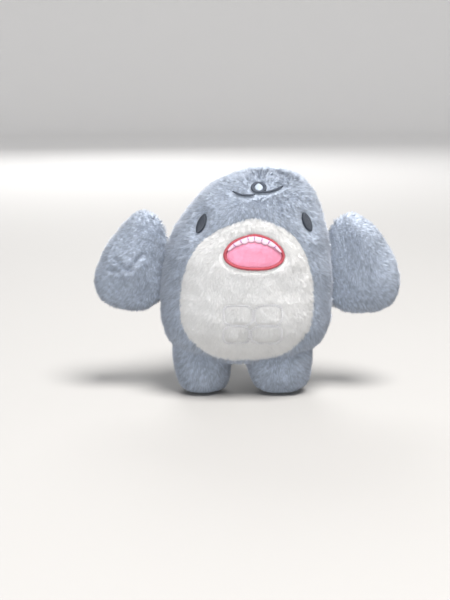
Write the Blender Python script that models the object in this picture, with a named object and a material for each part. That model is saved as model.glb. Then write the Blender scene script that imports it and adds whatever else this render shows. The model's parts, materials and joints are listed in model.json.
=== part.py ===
"""Plush shark, about 200 mm tall, standing on two stub legs.

Frame: metres, +Z up, the face looks along -Y, and the toy's own left side is +X.
The origin is on the floor, under the middle of the toy's bounding box.

Every soft limb is a pillow: two half covers, sewn together at the rim, round a core of
stuffing. A pillow's surface is |r|^FULLNESS + |t|^FULLNESS = 1, where r runs from its
middle to its rim and t is the height above its mid plane.
"""
import math

import bmesh
import bpy
from mathutils import Matrix, Vector

# Body
BODY_HALF_WIDTH = 0.0755
BODY_HALF_DEPTH = 0.0500
BODY_MIDDLE_Z = 0.0850
BODY_RISE = 0.1150           # from the widest level up to the crown
BODY_DROP = 0.0580           # from the widest level down to the seat
BODY_Y = -0.0236             # puts the bounding box's middle over the origin
UPPER_POWER = 2.21           # outline above the widest level
LOWER_POWER = 2.8            # outline below it, squarer
FULLNESS = 2.3               # bulge between the middle of a pillow and its rim
LEAN_BASE = -0.0015          # sideways shift of the lower body
LEAN_RISE = 0.0192           # how far the crown leans towards +X
LEAN_START_Z = 0.0800
LEAN_POWER = 2.7

# Fabric
COVER = 0.0040               # pile fabric of the body
LIMB_COVER = 0.0030          # pile fabric of flippers, legs, fin and tail
SEAM_GAP = 0.0003            # between neighbouring pieces
CORE_GAP = 0.0010            # between a cover and the stuffing in it

# Belly panel, as a share of the way from the middle of the front to the rim
BELLY_MEAN = 0.735
BELLY_SIDES = 0.038          # wider to the sides, lower to top and bottom
BELLY_TOP = 0.052            # drawn in at the top
BELLY_BOTTOM = 0.205         # let down at the bottom
BELLY_POINT = 0.028          # small point at the top
BELLY_POINT_WIDTH = 0.22     # radians

# Mouth
MOUTH_X = 0.0043
MOUTH_Z = 0.1288
MOUTH_HALF_WIDTH = 0.0260
MOUTH_RISE = 0.0177
MOUTH_DROP = 0.0123
MOUTH_UPPER_POWER = 1.70     # outline above its corners, nearly a pointed arch
MOUTH_LOWER_POWER = 2.30     # outline below them
MOUTH_TILT = -2.0            # degrees; the corner on the toy's left hangs lower
OUTLINE_WIDTH = 0.0030
OUTLINE_HEIGHT = 0.0026
PATCH_THICKNESS = 0.0014
TEETH_COUNT = 8
TEETH_DEPTH = 0.0048
TEETH_NOTCH = 0.0012
TEETH_THICKNESS = 0.0010
TEETH_START = 0.34           # radians above the mouth's corners

# Eyes: middle (x, z), half size and tilt from the vertical
EYE_HALF_WIDTH = 0.0045
EYE_HALF_HEIGHT = 0.0078
EYE_THICKNESS = 0.0014
EYES = {"right": (-0.0393, 0.1532, 20.0), "left": (0.0484, 0.1546, -17.0)}

# Snout mark near the crown; each line as (reach from the middle, rise at its end, sag)
SNOUT_X = 0.0084
SNOUT_Z = 0.1822
SNOUT_HALF_WIDTH = 0.0058
SNOUT_HALF_HEIGHT = 0.0036
SNOUT_THREAD = 0.0016
SNOUT_DOT_SHARE = 0.62
SNOUT_LINES = {"right": (0.0205, 0.0005, 0.0022), "left": (0.0190, 0.0045, 0.0004)}

# Quilted belly pads: rows as (bottom z, top z, divider x)
PAD_LEFT_X = -0.0208
PAD_RIGHT_X = 0.0270
PAD_ROWS = {"upper": (0.0713, 0.0873, 0.0040), "lower": (0.0552, 0.0695, 0.0013)}
PAD_CORNER_POWER = 5.0
PAD_SPACE = 0.0012
STITCH_RADIUS = 0.0005

# Flippers: outline as (share of the span out from the seam, z)
FLIPPER_REACH = 0.1330
FLIPPER_HALF_DEPTH = 0.0175
FLIPPER_TAPER = 0.0280       # full thickness this far from the seam
TAPER_START = -0.0015        # where a limb's thickness starts, just inside its seam
FLIPPER_MIDDLE = (0.46, 0.1080)
FLIPPER_OUTLINE = [
    (0.01, 0.1000), (0.01, 0.0850), (0.08, 0.0745), (0.36, 0.0705), (0.74, 0.0750),
    (0.96, 0.0880), (1.00, 0.1050), (0.87, 0.1280), (0.58, 0.1490), (0.30, 0.1600),
    (0.13, 0.1600), (0.01, 0.1530), (-0.02, 0.1410), (0.01, 0.1230),
]
FLIPPER_CLEAR = 0.0010
FLIPPER_LIFT = {"left": -0.0020, "right": 0.0010}
FLIPPER_TRIM = {"left": 0.0, "right": 0.10}   # the upper half drawn in towards the seam
FLIPPER_TRIM_Z = (0.1050, 0.1600)

# Legs: middle x and half width of each
LEGS = {"right": (-0.0395, 0.0258), "left": (0.0285, 0.0292)}
LEG_HALF_DEPTH = 0.0265
LEG_POWER = 2.3
LEG_ROUND_Z = 0.0280         # the foot is rounded up to here
LEG_TOP_Z = 0.0420
SOLE_SHARE = 0.52
SOLE_THICKNESS = 0.0030
LEG_SLOPE = math.tan(math.radians(21.0))
LEG_CLEAR = 0.0006
LEG_WALL_SHARES = (0.0, 0.12, 0.35, 1.0)   # heights of the leg's wall loops
CORE_FOOT_SHARE = 0.3
CORE_CROWN_SHARES = (0.66, 0.33)

# Dorsal fin and tail: outline as (out from the seam, along the seam)
FIN_Z = 0.1340
FIN_TILT = -11.0
FIN_HALF_WIDTH = 0.0080
FIN_TAPER = 0.0120
FIN_MIDDLE = (0.0130, -0.0030)
FIN_OUTLINE = [
    (0.0003, 0.0000), (0.0006, -0.0190), (0.0090, -0.0200), (0.0290, -0.0215),
    (0.0330, -0.0165), (0.0240, 0.0040), (0.0100, 0.0185), (0.0006, 0.0210),
]
TAIL_Z = 0.0640
TAIL_TILT = 12.0
TAIL_HALF_WIDTH = 0.0105
TAIL_TAPER = 0.0120
TAIL_MIDDLE = (0.0230, 0.0010)
TAIL_OUTLINE = [
    (0.0003, 0.0000), (0.0006, -0.0145), (0.0110, -0.0150), (0.0300, -0.0225),
    (0.0400, -0.0205), (0.0390, -0.0030), (0.0455, 0.0230), (0.0420, 0.0300),
    (0.0270, 0.0235), (0.0110, 0.0150), (0.0006, 0.0145),
]
BACK_CLEAR = 0.0012

# Hand-sewn closing seam between the tail and the fin
CLOSING_BOTTOM_Z = 0.0830
CLOSING_TOP_Z = 0.1100
CLOSING_STITCHES = 6
CLOSING_HALF_WIDTH = 0.0022

# Mesh steps
BODY_STEPS = 28
LIMB_STEPS = 20
RIM_RINGS = 5
THREAD_SIDES = 6

LEFT, RIGHT = 1, -1
SIDES = {"left": LEFT, "right": RIGHT}


# ---------------------------------------------------------------- shared tools

def clear_scene():
    for found in list(bpy.data.objects):
        bpy.data.objects.remove(found, do_unlink=True)


def material(name, colour, roughness):
    made = bpy.data.materials.new(name)
    made.use_nodes = True
    shader = made.node_tree.nodes["Principled BSDF"]
    shader.inputs["Base Color"].default_value = (*colour, 1.0)
    shader.inputs["Roughness"].default_value = roughness
    shader.inputs["Metallic"].default_value = 0.0
    return made


def spaced(first, last, steps):
    return [first + (last - first) * i / steps for i in range(steps + 1)]


def signed_power(value, power):
    return math.copysign(abs(value) ** power, value)


def around(steps):
    return [2.0 * math.pi * i / steps for i in range(steps)]


def loft(name, loops, surface, closed=False, pivot=None):
    """Skin equal loops of points in order; the ends join up, or each gets a fan."""
    mesh = bmesh.new()
    rows = [[mesh.verts.new(point) for point in loop] for loop in loops]
    count = len(rows[0])
    pairs = list(zip(rows, rows[1:]))
    if closed:
        pairs.append((rows[-1], rows[0]))
    for low, high in pairs:
        for i in range(count):
            j = (i + 1) % count
            mesh.faces.new((low[i], low[j], high[j], high[i]))
    if not closed:
        for row in (rows[0], rows[-1]):
            middle = sum((vert.co for vert in row), Vector()) / count
            tip = mesh.verts.new(middle)
            for i in range(count):
                mesh.faces.new((row[i], row[(i + 1) % count], tip))
    bmesh.ops.recalc_face_normals(mesh, faces=mesh.faces)
    return add_object(name, mesh, surface, pivot)


def add_object(name, mesh, surface, pivot=None):
    """Put a mesh in the scene, with its origin on the pivot."""
    pivot = Vector(pivot or (0.0, 0.0, 0.0))
    bmesh.ops.translate(mesh, verts=mesh.verts, vec=-pivot)
    data = bpy.data.meshes.new(name)
    mesh.to_mesh(data)
    mesh.free()
    data.materials.append(surface)
    data.shade_smooth()
    data.set_sharp_from_angle(angle=math.radians(50.0))
    made = bpy.data.objects.new(name, data)
    made.location = pivot
    bpy.context.scene.collection.objects.link(made)
    return made


def cut(piece, point, normal):
    """Keep the half of a closed piece that lies behind a plane, and close the cut."""
    mesh = bmesh.new()
    mesh.from_mesh(piece.data)
    bmesh.ops.bisect_plane(
        mesh,
        geom=mesh.verts[:] + mesh.edges[:] + mesh.faces[:],
        dist=1e-6,
        plane_co=Vector(point) - piece.location,
        plane_no=normal,
        clear_outer=True,
    )
    rim = [edge for edge in mesh.edges if edge.is_boundary]
    bmesh.ops.triangle_fill(mesh, edges=rim, use_beauty=True)
    bmesh.ops.recalc_face_normals(mesh, faces=mesh.faces)
    mesh.to_mesh(piece.data)
    mesh.free()
    piece.data.set_sharp_from_angle(angle=math.radians(50.0))


def smooth_outline(points, steps):
    """Closed Catmull-Rom curve through a few points, as evenly spaced samples."""
    fine = []
    count = len(points)
    for i in range(count):
        a, b, c, d = (Vector(points[(i + k) % count]) for k in range(-1, 3))
        for t in (0.0, 0.125, 0.25, 0.375, 0.5, 0.625, 0.75, 0.875):
            bend = 2.0 * a - 5.0 * b + 4.0 * c - d
            twist = 3.0 * b - a - 3.0 * c + d
            fine.append(0.5 * (2.0 * b + (c - a) * t + bend * t * t + twist * t ** 3))
    lengths = [(fine[(i + 1) % len(fine)] - fine[i]).length for i in range(len(fine))]
    total = sum(lengths)
    samples = []
    travelled = 0.0
    i = 0
    for step in range(steps):
        target = total * step / steps
        while travelled + lengths[i] < target:
            travelled += lengths[i]
            i += 1
        share = (target - travelled) / lengths[i]
        samples.append(fine[i].lerp(fine[(i + 1) % len(fine)], share))
    return samples


def tube_loops(path, normals, half_width, half_height, closed):
    """Oval sections along a path; the half height is measured along the normals."""
    loops = []
    count = len(path)
    for i in range(count):
        before = path[i - 1] if closed or i else path[i]
        after = path[(i + 1) % count] if closed or i < count - 1 else path[i]
        across = (after - before).cross(normals[i]).normalized()
        loop = []
        for turn in around(THREAD_SIDES):
            out = across * (half_width * math.cos(turn))
            loop.append(path[i] + out + normals[i] * (half_height * math.sin(turn)))
        loops.append(loop)
    return loops


# ---------------------------------------------------------------- body surface

def lean(z):
    """Sideways place of the body's middle line at a height."""
    share = max(0.0, (z - LEAN_START_Z) / (BODY_MIDDLE_Z + BODY_RISE - LEAN_START_Z))
    return LEAN_BASE + LEAN_RISE * share ** LEAN_POWER


def height_above_rim(r):
    return max(0.0, 1.0 - r ** FULLNESS) ** (1.0 / FULLNESS)


def body_point(turn, r, side, shrink):
    """Point of the body at an angle and a share of the way out to the rim.

    side is -1 for the front and +1 for the back; shrink moves the surface inwards.
    """
    upper = math.sin(turn) >= 0.0
    power = 2.0 / (UPPER_POWER if upper else LOWER_POWER)
    extent = (BODY_RISE if upper else BODY_DROP) - shrink
    z = BODY_MIDDLE_Z + extent * r * signed_power(math.sin(turn), power)
    x = lean(z) + (BODY_HALF_WIDTH - shrink) * r * signed_power(math.cos(turn), power)
    depth = (BODY_HALF_DEPTH - shrink) * height_above_rim(r)
    return Vector((x, BODY_Y + side * max(depth, SEAM_GAP / 2.0), z))


def body_loop(r_of_turn, side, shrink):
    return [body_point(turn, r_of_turn(turn), side, shrink) for turn in around(BODY_STEPS)]


def surface_point(x, z, lift, side):
    """Point of the body straight in front of or behind (x, z), lifted off it."""
    upper = z >= BODY_MIDDLE_Z
    power = UPPER_POWER if upper else LOWER_POWER
    extent = (BODY_RISE if upper else BODY_DROP) + lift
    across = abs(x - lean(z)) / (BODY_HALF_WIDTH + lift)
    along = abs(z - BODY_MIDDLE_Z) / extent
    r = (across ** power + along ** power) ** (1.0 / power)
    return Vector((x, BODY_Y + side * (BODY_HALF_DEPTH + lift) * height_above_rim(r), z))


def surface_normal(x, z, side):
    step = 0.0005
    across = surface_point(x + step, z, 0.0, side) - surface_point(x - step, z, 0.0, side)
    along = surface_point(x, z + step, 0.0, side) - surface_point(x, z - step, 0.0, side)
    return along.cross(across).normalized() * side


def underside(x, y):
    """Height of the body's lower surface over a point of the floor."""
    depth = min(1.0, abs(y - BODY_Y) / BODY_HALF_DEPTH)
    r = height_above_rim(depth)
    across = abs(x - LEAN_BASE) / BODY_HALF_WIDTH
    along = max(0.0, r ** LOWER_POWER - across ** LOWER_POWER) ** (1.0 / LOWER_POWER)
    return BODY_MIDDLE_Z - BODY_DROP * along


def belly_edge(turn):
    """Share of the way out to the rim at which the belly panel ends."""
    rise = math.sin(turn)
    edge = BELLY_MEAN + BELLY_SIDES * math.cos(2.0 * turn)
    edge -= BELLY_TOP * max(0.0, rise) ** 2
    edge += BELLY_BOTTOM * max(0.0, -rise) ** 5
    off_top = (turn - 0.5 * math.pi) / BELLY_POINT_WIDTH
    return edge + BELLY_POINT * math.exp(-off_top * off_top)


# ---------------------------------------------------------------- body pieces

def make_body(cloth):
    ring_shares = [math.sin(0.5 * math.pi * i / RIM_RINGS) for i in range(1, RIM_RINGS + 1)]
    seam = SEAM_GAP / 2.0 / BODY_HALF_DEPTH

    def belly_loops(shrink):
        return [
            body_loop(lambda turn, k=k: k * (belly_edge(turn) - seam), -1, shrink)
            for k in ring_shares
        ]

    def front_loops(shrink):
        def radius(turn, share):
            inner = belly_edge(turn) + seam
            return inner + (1.0 - inner) * share
        shares = [0.0] + ring_shares
        return [body_loop(lambda turn, k=k: radius(turn, k), -1, shrink) for k in shares]

    def back_loops(shrink):
        return [body_loop(lambda turn, k=k: k, 1, shrink) for k in ring_shares]

    loft("belly_panel", belly_loops(0.0) + belly_loops(COVER)[::-1], cloth["belly"])
    loft("body_front_panel", front_loops(0.0) + front_loops(COVER)[::-1],
         cloth["grey"], closed=True)

    crown = Vector((lean(BODY_MIDDLE_Z + BODY_RISE), BODY_Y, BODY_MIDDLE_Z + BODY_RISE))
    seat = Vector((LEAN_BASE, BODY_Y, BODY_MIDDLE_Z - BODY_DROP))
    towards_left = (crown - seat).cross(Vector((0.0, 1.0, 0.0))).normalized() * -1.0
    for name, side in SIDES.items():
        half = loft(f"back_panel_{name}", back_loops(0.0) + back_loops(COVER)[::-1],
                    cloth["grey"])
        away = towards_left * -side
        cut(half, seat - away * (SEAM_GAP / 2.0), away)

    inset = COVER + CORE_GAP
    core = [body_loop(lambda turn, k=k: k, -1, inset) for k in ring_shares[:-1]]
    core.append([Vector((p.x, BODY_Y, p.z)) for p in body_loop(lambda turn: 1.0, -1, inset)])
    core += [body_loop(lambda turn, k=k: k, 1, inset) for k in ring_shares[-2::-1]]
    loft("body_stuffing", core, cloth["stuffing"])


def face_patch(name, outline, middle, low, high, surface):
    """Thin patch that follows the front of the body inside a flat outline."""
    shares = (0.45, 1.0)

    def loops(lift):
        made = []
        for share in shares:
            flat = [Vector(middle).lerp(Vector(point), share) for point in outline]
            made.append([surface_point(p.x, p.y, lift, -1) for p in flat])
        return made
    return loft(name, loops(high) + loops(low)[::-1], surface)


def face_thread(name, path, half_width, half_height, surface, closed, side=-1):
    """Oval thread that lies on the body along a flat path."""
    normals = [surface_normal(x, z, side) for x, z in path]
    rise = SEAM_GAP + half_height
    points = [surface_point(x, z, 0.0, side) + n * rise for (x, z), n in zip(path, normals)]
    loops = tube_loops(points, normals, half_width, half_height, closed)
    return loft(name, loops, surface, closed=closed)


def mouth_point(turn, inset):
    upper = math.sin(turn) > 0.0
    power = 2.0 / (MOUTH_UPPER_POWER if upper else MOUTH_LOWER_POWER)
    extent = MOUTH_RISE if upper else MOUTH_DROP
    across = (MOUTH_HALF_WIDTH - inset) * signed_power(math.cos(turn), power)
    along = (extent - inset) * signed_power(math.sin(turn), power)
    tilt = math.radians(MOUTH_TILT)
    x = MOUTH_X + across * math.cos(tilt) - along * math.sin(tilt)
    return x, MOUTH_Z + across * math.sin(tilt) + along * math.cos(tilt)


def mouth_outline(inset, steps):
    return [mouth_point(turn, inset) for turn in around(steps)]


def make_mouth(cloth):
    face_thread("mouth_outline", mouth_outline(OUTLINE_WIDTH / 2.0, BODY_STEPS),
                OUTLINE_WIDTH / 2.0, OUTLINE_HEIGHT / 2.0, cloth["red"], closed=True)
    inside = OUTLINE_WIDTH + 2.0 * SEAM_GAP
    face_patch("mouth_patch", mouth_outline(inside, 24), (MOUTH_X, MOUTH_Z),
               SEAM_GAP, SEAM_GAP + PATCH_THICKNESS, cloth["pink"])

    low = PATCH_THICKNESS + 2.5 * SEAM_GAP
    high = low + TEETH_THICKNESS
    loops = []
    for i in range(2 * TEETH_COUNT + 1):
        turn = TEETH_START + (math.pi - 2.0 * TEETH_START) * i / (2 * TEETH_COUNT)
        depth = TEETH_DEPTH - (TEETH_NOTCH if i % 2 == 0 else 0.0)
        outer_x, outer_z = mouth_point(turn, inside + SEAM_GAP)
        inner_x, inner_z = mouth_point(turn, inside + SEAM_GAP + depth)
        loops.append([
            surface_point(outer_x, outer_z, low, -1),
            surface_point(outer_x, outer_z, high, -1),
            surface_point(inner_x, inner_z, high, -1),
            surface_point(inner_x, inner_z, low, -1),
        ])
    loft("teeth_strip", loops, cloth["teeth"])


def oval(middle_x, middle_z, half_width, half_height, tilt, steps):
    turn_back = Matrix.Rotation(-math.radians(tilt), 2)
    points = []
    for turn in around(steps):
        off = Vector((half_width * math.cos(turn), half_height * math.sin(turn)))
        off = turn_back @ off
        points.append((middle_x + off.x, middle_z + off.y))
    return points


def make_face(cloth):
    for name, (x, z, tilt) in EYES.items():
        outline = oval(x, z, EYE_HALF_WIDTH, EYE_HALF_HEIGHT, tilt, 16)
        face_patch(f"eye_{name}", outline, (x, z), SEAM_GAP, SEAM_GAP + EYE_THICKNESS,
                   cloth["slate"])

    thread = SNOUT_THREAD / 2.0
    ring = oval(SNOUT_X, SNOUT_Z, SNOUT_HALF_WIDTH, SNOUT_HALF_HEIGHT, 0.0, 16)
    face_thread("snout_ring", ring, thread, thread, cloth["slate"], closed=True)
    dot = oval(SNOUT_X, SNOUT_Z, SNOUT_HALF_WIDTH * SNOUT_DOT_SHARE,
               SNOUT_HALF_HEIGHT * SNOUT_DOT_SHARE, 0.0, 12)
    face_patch("snout_dot", dot, (SNOUT_X, SNOUT_Z), SEAM_GAP, 0.0012, cloth["teeth"])
    inner = SNOUT_HALF_WIDTH + 2.0 * thread
    for name, (reach, rise, sag) in SNOUT_LINES.items():
        path = []
        for share in spaced(0.0, 1.0, 6):
            x = SNOUT_X + SIDES[name] * (inner + (reach - inner) * share)
            bow = sag * 4.0 * share * (1.0 - share)
            path.append((x, SNOUT_Z - SNOUT_HALF_HEIGHT + rise * share - bow))
        face_thread(f"snout_line_{name}", path, thread, thread, cloth["slate"], closed=False)


def make_belly_stitches(cloth):
    for row, (low_z, high_z, divider_x) in PAD_ROWS.items():
        columns = {
            "right": (PAD_LEFT_X, divider_x - PAD_SPACE),
            "left": (divider_x + PAD_SPACE, PAD_RIGHT_X),
        }
        for column, (low_x, high_x) in columns.items():
            path = []
            for turn in around(20):
                x = signed_power(math.cos(turn), 2.0 / PAD_CORNER_POWER)
                z = signed_power(math.sin(turn), 2.0 / PAD_CORNER_POWER)
                path.append(((low_x + high_x + x * (high_x - low_x)) / 2.0,
                             (low_z + high_z + z * (high_z - low_z)) / 2.0))
            face_thread(f"belly_stitch_{row}_{column}", path, STITCH_RADIUS, STITCH_RADIUS,
                        cloth["thread"], closed=True)


def make_closing_seam(cloth):
    path = []
    for i in range(2 * CLOSING_STITCHES + 1):
        share = i / (2 * CLOSING_STITCHES)
        z = CLOSING_BOTTOM_Z + (CLOSING_TOP_Z - CLOSING_BOTTOM_Z) * share
        path.append((lean(z) + CLOSING_HALF_WIDTH * (1 if i % 2 else -1), z))
    face_thread("closing_seam", path, STITCH_RADIUS, STITCH_RADIUS, cloth["grey_thread"],
                closed=False, side=1)


# ---------------------------------------------------------------- limbs

class Pillow:
    """A stuffed limb with a flat outline, sewn to the body along u = 0."""

    def __init__(self, outline, middle, half_thick, taper, seam, out, along):
        self.rim = smooth_outline(outline, LIMB_STEPS)
        self.middle = Vector(middle)
        self.half_thick = half_thick
        self.taper = taper
        self.seam = Vector(seam)
        self.out = Vector(out)
        self.along = Vector(along)
        self.normal = self.out.cross(self.along)

    def loop(self, r, side, shrink, gap):
        points = []
        for rim in self.rim:
            arm = rim - self.middle
            arm = arm * (1.0 - shrink / arm.length)
            flat = self.middle + arm * r
            thin = min(1.0, math.sqrt(max(flat.x - TAPER_START, 0.0) / self.taper))
            height = (self.half_thick - shrink) * height_above_rim(r) * thin
            place = self.seam + self.out * flat.x + self.along * flat.y
            points.append(place + self.normal * (side * max(height, gap)))
        return points

    def half_cover(self, name, side, surface):
        shares = [math.sin(0.5 * math.pi * i / 4) for i in range(1, 5)]
        half_gap = SEAM_GAP / 2.0
        outer = [self.loop(r, side, 0.0, half_gap) for r in shares]
        inner = [self.loop(r, side, LIMB_COVER, half_gap) for r in shares]
        loft(name, outer + inner[::-1], surface, pivot=self.seam)

    def core(self, name, surface):
        shares = [math.sin(0.5 * math.pi * i / 4) for i in range(1, 4)]
        inset = LIMB_COVER + CORE_GAP
        loops = [self.loop(r, -1, inset, 0.0) for r in shares]
        loops.append(self.loop(1.0, 1, inset, 0.0))
        loops += [self.loop(r, 1, inset, 0.0) for r in shares[::-1]]
        loft(name, loops, surface, pivot=self.seam)


def make_flippers(cloth):
    for name, side in SIDES.items():
        seam_x = lean(0.1) + side * (BODY_HALF_WIDTH + FLIPPER_CLEAR)
        span = FLIPPER_REACH - abs(seam_x)
        trim_low, trim_high = FLIPPER_TRIM_Z
        outline = []
        for share, z in FLIPPER_OUTLINE:
            up = max(0.0, (z - trim_low) / (trim_high - trim_low))
            drawn_in = 1.0 - FLIPPER_TRIM[name] * up
            outline.append((share * span * drawn_in, z + FLIPPER_LIFT[name]))
        middle = (FLIPPER_MIDDLE[0] * span, FLIPPER_MIDDLE[1] + FLIPPER_LIFT[name])
        flipper = Pillow(outline, middle, FLIPPER_HALF_DEPTH, FLIPPER_TAPER,
                         (seam_x, BODY_Y, 0.0), (side, 0.0, 0.0), (0.0, 0.0, 1.0))
        flipper.half_cover(f"flipper_{name}_front_panel", side, cloth["grey"])
        flipper.half_cover(f"flipper_{name}_back_panel", -side, cloth["grey"])
        flipper.core(f"flipper_{name}_stuffing", cloth["stuffing"])


def make_back_limb(prefix, z, tilt, outline, middle, half_thick, taper, cloth):
    """Fin or tail: a pillow that stands on edge on the back's middle line."""
    back = surface_point(lean(z), z, 0.0, 1)
    turn = math.radians(tilt)
    along = Vector((0.0, math.sin(turn), math.cos(turn)))
    out = Vector((0.0, math.cos(turn), -math.sin(turn)))
    limb = Pillow(outline, middle, half_thick, taper, back + out * BACK_CLEAR, out, along)
    limb.half_cover(f"{prefix}_panel_left", 1, cloth["grey"])
    limb.half_cover(f"{prefix}_panel_right", -1, cloth["grey"])
    limb.core(f"{prefix}_stuffing", cloth["stuffing"])


def leg_width(z):
    """Share of a leg's full width at a height: the foot is rounded to a flat sole."""
    if z >= LEG_ROUND_Z:
        return 1.0
    down = 1.0 - z / LEG_ROUND_Z
    return SOLE_SHARE + (1.0 - SOLE_SHARE) * (1.0 - down ** LEG_POWER) ** (1.0 / LEG_POWER)


def leg_top(x, y):
    """A leg ends under the body, and slopes away to leave room for its swing."""
    return min(LEG_TOP_Z, underside(x, y) - LEG_CLEAR - abs(y - BODY_Y) * LEG_SLOPE)


def make_legs(cloth):
    for name, (middle_x, half_width) in LEGS.items():
        pivot = (middle_x, BODY_Y, BODY_MIDDLE_Z - BODY_DROP)

        def plan(turn, share, inset):
            power = 2.0 / LEG_POWER
            x = middle_x + (half_width * share - inset) * signed_power(math.cos(turn), power)
            y = BODY_Y + (LEG_HALF_DEPTH * share - inset) * signed_power(math.sin(turn), power)
            return x, y

        def wall(height_share, inset, floor_z):
            loop = []
            for turn in around(LIMB_STEPS):
                top = leg_top(*plan(turn, 1.0, inset))
                z = floor_z + (top - floor_z) * height_share
                x, y = plan(turn, leg_width(z), inset)
                if height_share == 1.0:
                    z = leg_top(x, y)
                loop.append(Vector((x, y, z)))
            return loop

        def level(share, inset, z):
            return [Vector((*plan(turn, share, inset), z)) for turn in around(LIMB_STEPS)]

        sole_top = SOLE_THICKNESS
        sole = [level(0.5 * SOLE_SHARE, 0.0, 0.0), level(SOLE_SHARE, 0.0, 0.0),
                level(leg_width(sole_top), 0.0, sole_top),
                level(0.5 * SOLE_SHARE, 0.0, sole_top)]
        loft(f"leg_{name}_sole", sole, cloth["grey"], pivot=pivot)

        wall_foot = sole_top + SEAM_GAP
        outer = [wall(h, 0.0, wall_foot) for h in LEG_WALL_SHARES]
        inner = [wall(h, LIMB_COVER, wall_foot) for h in LEG_WALL_SHARES]
        for half, side in (("front", -1.0), ("back", 1.0)):
            tube = loft(f"leg_{name}_{half}_panel", outer + inner[::-1], cloth["grey"],
                        closed=True, pivot=pivot)
            cut(tube, (middle_x, BODY_Y + side * SEAM_GAP / 2.0, 0.0), (0.0, -side, 0.0))

        inset = LIMB_COVER + CORE_GAP
        core = [wall(h, inset, wall_foot + CORE_GAP) for h in LEG_WALL_SHARES]
        core.insert(0, level(CORE_FOOT_SHARE, 0.0, wall_foot + CORE_GAP))
        for share in CORE_CROWN_SHARES:
            crown = [Vector((*plan(turn, share, inset * share), 0.0)) for turn in around(LIMB_STEPS)]
            core.append([Vector((p.x, p.y, leg_top(p.x, p.y))) for p in crown])
        loft(f"leg_{name}_stuffing", core, cloth["stuffing"], pivot=pivot)


def main():
    clear_scene()
    cloth = {
        "grey": material("blue_grey_plush", (0.36, 0.42, 0.52), 0.95),
        "belly": material("white_plush", (0.84, 0.83, 0.80), 0.95),
        "pink": material("pink_felt", (0.93, 0.42, 0.60), 0.85),
        "red": material("red_embroidery", (0.72, 0.12, 0.16), 0.60),
        "teeth": material("white_embroidery", (0.86, 0.80, 0.88), 0.60),
        "slate": material("slate_embroidery", (0.08, 0.10, 0.14), 0.60),
        "thread": material("white_thread", (0.80, 0.79, 0.76), 0.70),
        "grey_thread": material("grey_thread", (0.26, 0.31, 0.39), 0.70),
        "stuffing": material("polyester_stuffing", (0.90, 0.90, 0.89), 1.0),
    }
    make_body(cloth)
    make_mouth(cloth)
    make_face(cloth)
    make_belly_stitches(cloth)
    make_closing_seam(cloth)
    make_flippers(cloth)
    make_legs(cloth)
    make_back_limb("dorsal_fin", FIN_Z, FIN_TILT, FIN_OUTLINE, FIN_MIDDLE,
                   FIN_HALF_WIDTH, FIN_TAPER, cloth)
    make_back_limb("tail", TAIL_Z, TAIL_TILT, TAIL_OUTLINE, TAIL_MIDDLE,
                   TAIL_HALF_WIDTH, TAIL_TAPER, cloth)


main()
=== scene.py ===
"""Looks of the plush shark: sewn skins, fur pile, satin embroidery, floor, light, camera.

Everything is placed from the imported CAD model's boxes. The skins of the body and the limbs
are inflated between their seams by a cloth simulation, and then grown over with pile, as
real strands. Lengths are in metres; a share runs from 0 in the middle to 1 at an edge.
"""
import json
import math

import bpy
import numpy as np
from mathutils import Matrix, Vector, kdtree
from mathutils.bvhtree import BVHTree


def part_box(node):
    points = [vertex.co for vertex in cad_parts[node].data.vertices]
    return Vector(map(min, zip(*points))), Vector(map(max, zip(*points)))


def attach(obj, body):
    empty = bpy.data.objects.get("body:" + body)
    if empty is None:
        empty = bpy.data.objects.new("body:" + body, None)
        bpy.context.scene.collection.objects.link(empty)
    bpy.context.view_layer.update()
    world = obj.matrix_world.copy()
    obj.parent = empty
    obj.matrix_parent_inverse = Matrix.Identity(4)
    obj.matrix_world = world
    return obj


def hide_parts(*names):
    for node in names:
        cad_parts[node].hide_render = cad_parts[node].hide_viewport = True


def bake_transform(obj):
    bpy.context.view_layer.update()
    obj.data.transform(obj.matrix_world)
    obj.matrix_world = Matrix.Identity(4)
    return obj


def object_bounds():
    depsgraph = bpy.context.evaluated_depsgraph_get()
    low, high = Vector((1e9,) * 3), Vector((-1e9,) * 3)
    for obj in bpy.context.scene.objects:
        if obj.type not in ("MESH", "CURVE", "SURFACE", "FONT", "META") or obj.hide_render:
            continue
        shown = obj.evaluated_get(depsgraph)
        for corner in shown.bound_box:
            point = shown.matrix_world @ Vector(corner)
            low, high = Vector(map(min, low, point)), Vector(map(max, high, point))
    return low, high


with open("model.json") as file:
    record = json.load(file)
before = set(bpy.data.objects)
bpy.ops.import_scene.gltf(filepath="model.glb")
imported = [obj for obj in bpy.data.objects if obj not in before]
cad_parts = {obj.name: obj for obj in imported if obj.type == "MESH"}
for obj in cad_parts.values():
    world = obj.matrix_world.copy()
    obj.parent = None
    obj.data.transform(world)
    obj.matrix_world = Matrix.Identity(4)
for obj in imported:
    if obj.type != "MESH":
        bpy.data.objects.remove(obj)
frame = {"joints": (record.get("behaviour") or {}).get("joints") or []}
CAD_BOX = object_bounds()

# ---- design values

SKIN_DEPTH = 0.0034          # the woven backing lies this far under the CAD surface
LIMB_SKIN_DEPTH = 0.0028
SKIN_THICKNESS = 0.0009
FULLNESS = 2.3               # the CAD pillows' bulge
UPPER_POWER = 2.21           # the CAD body's outline above and below its widest level
LOWER_POWER = 2.8
MIDDLE_SHARE = 0.3353        # height of the widest level, as a share of the body
LEAN_RISE = 0.0192           # sideways lean of the crown
LEAN_START_SHARE = 0.306
LEAN_POWER = 2.7

BELLY_MEAN = 0.735           # the CAD belly panel's edge, as a share of the way to the rim
BELLY_SIDES = 0.038
BELLY_TOP = 0.052
BELLY_BOTTOM = 0.205
BELLY_POINT = 0.028
BELLY_POINT_WIDTH = 0.22

TURNS = 176                  # steps round the body's skin
BELLY_RINGS = 42
FRONT_RINGS = 24
BACK_RINGS = 44

SIDES = {"left": 1, "right": -1}

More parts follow.
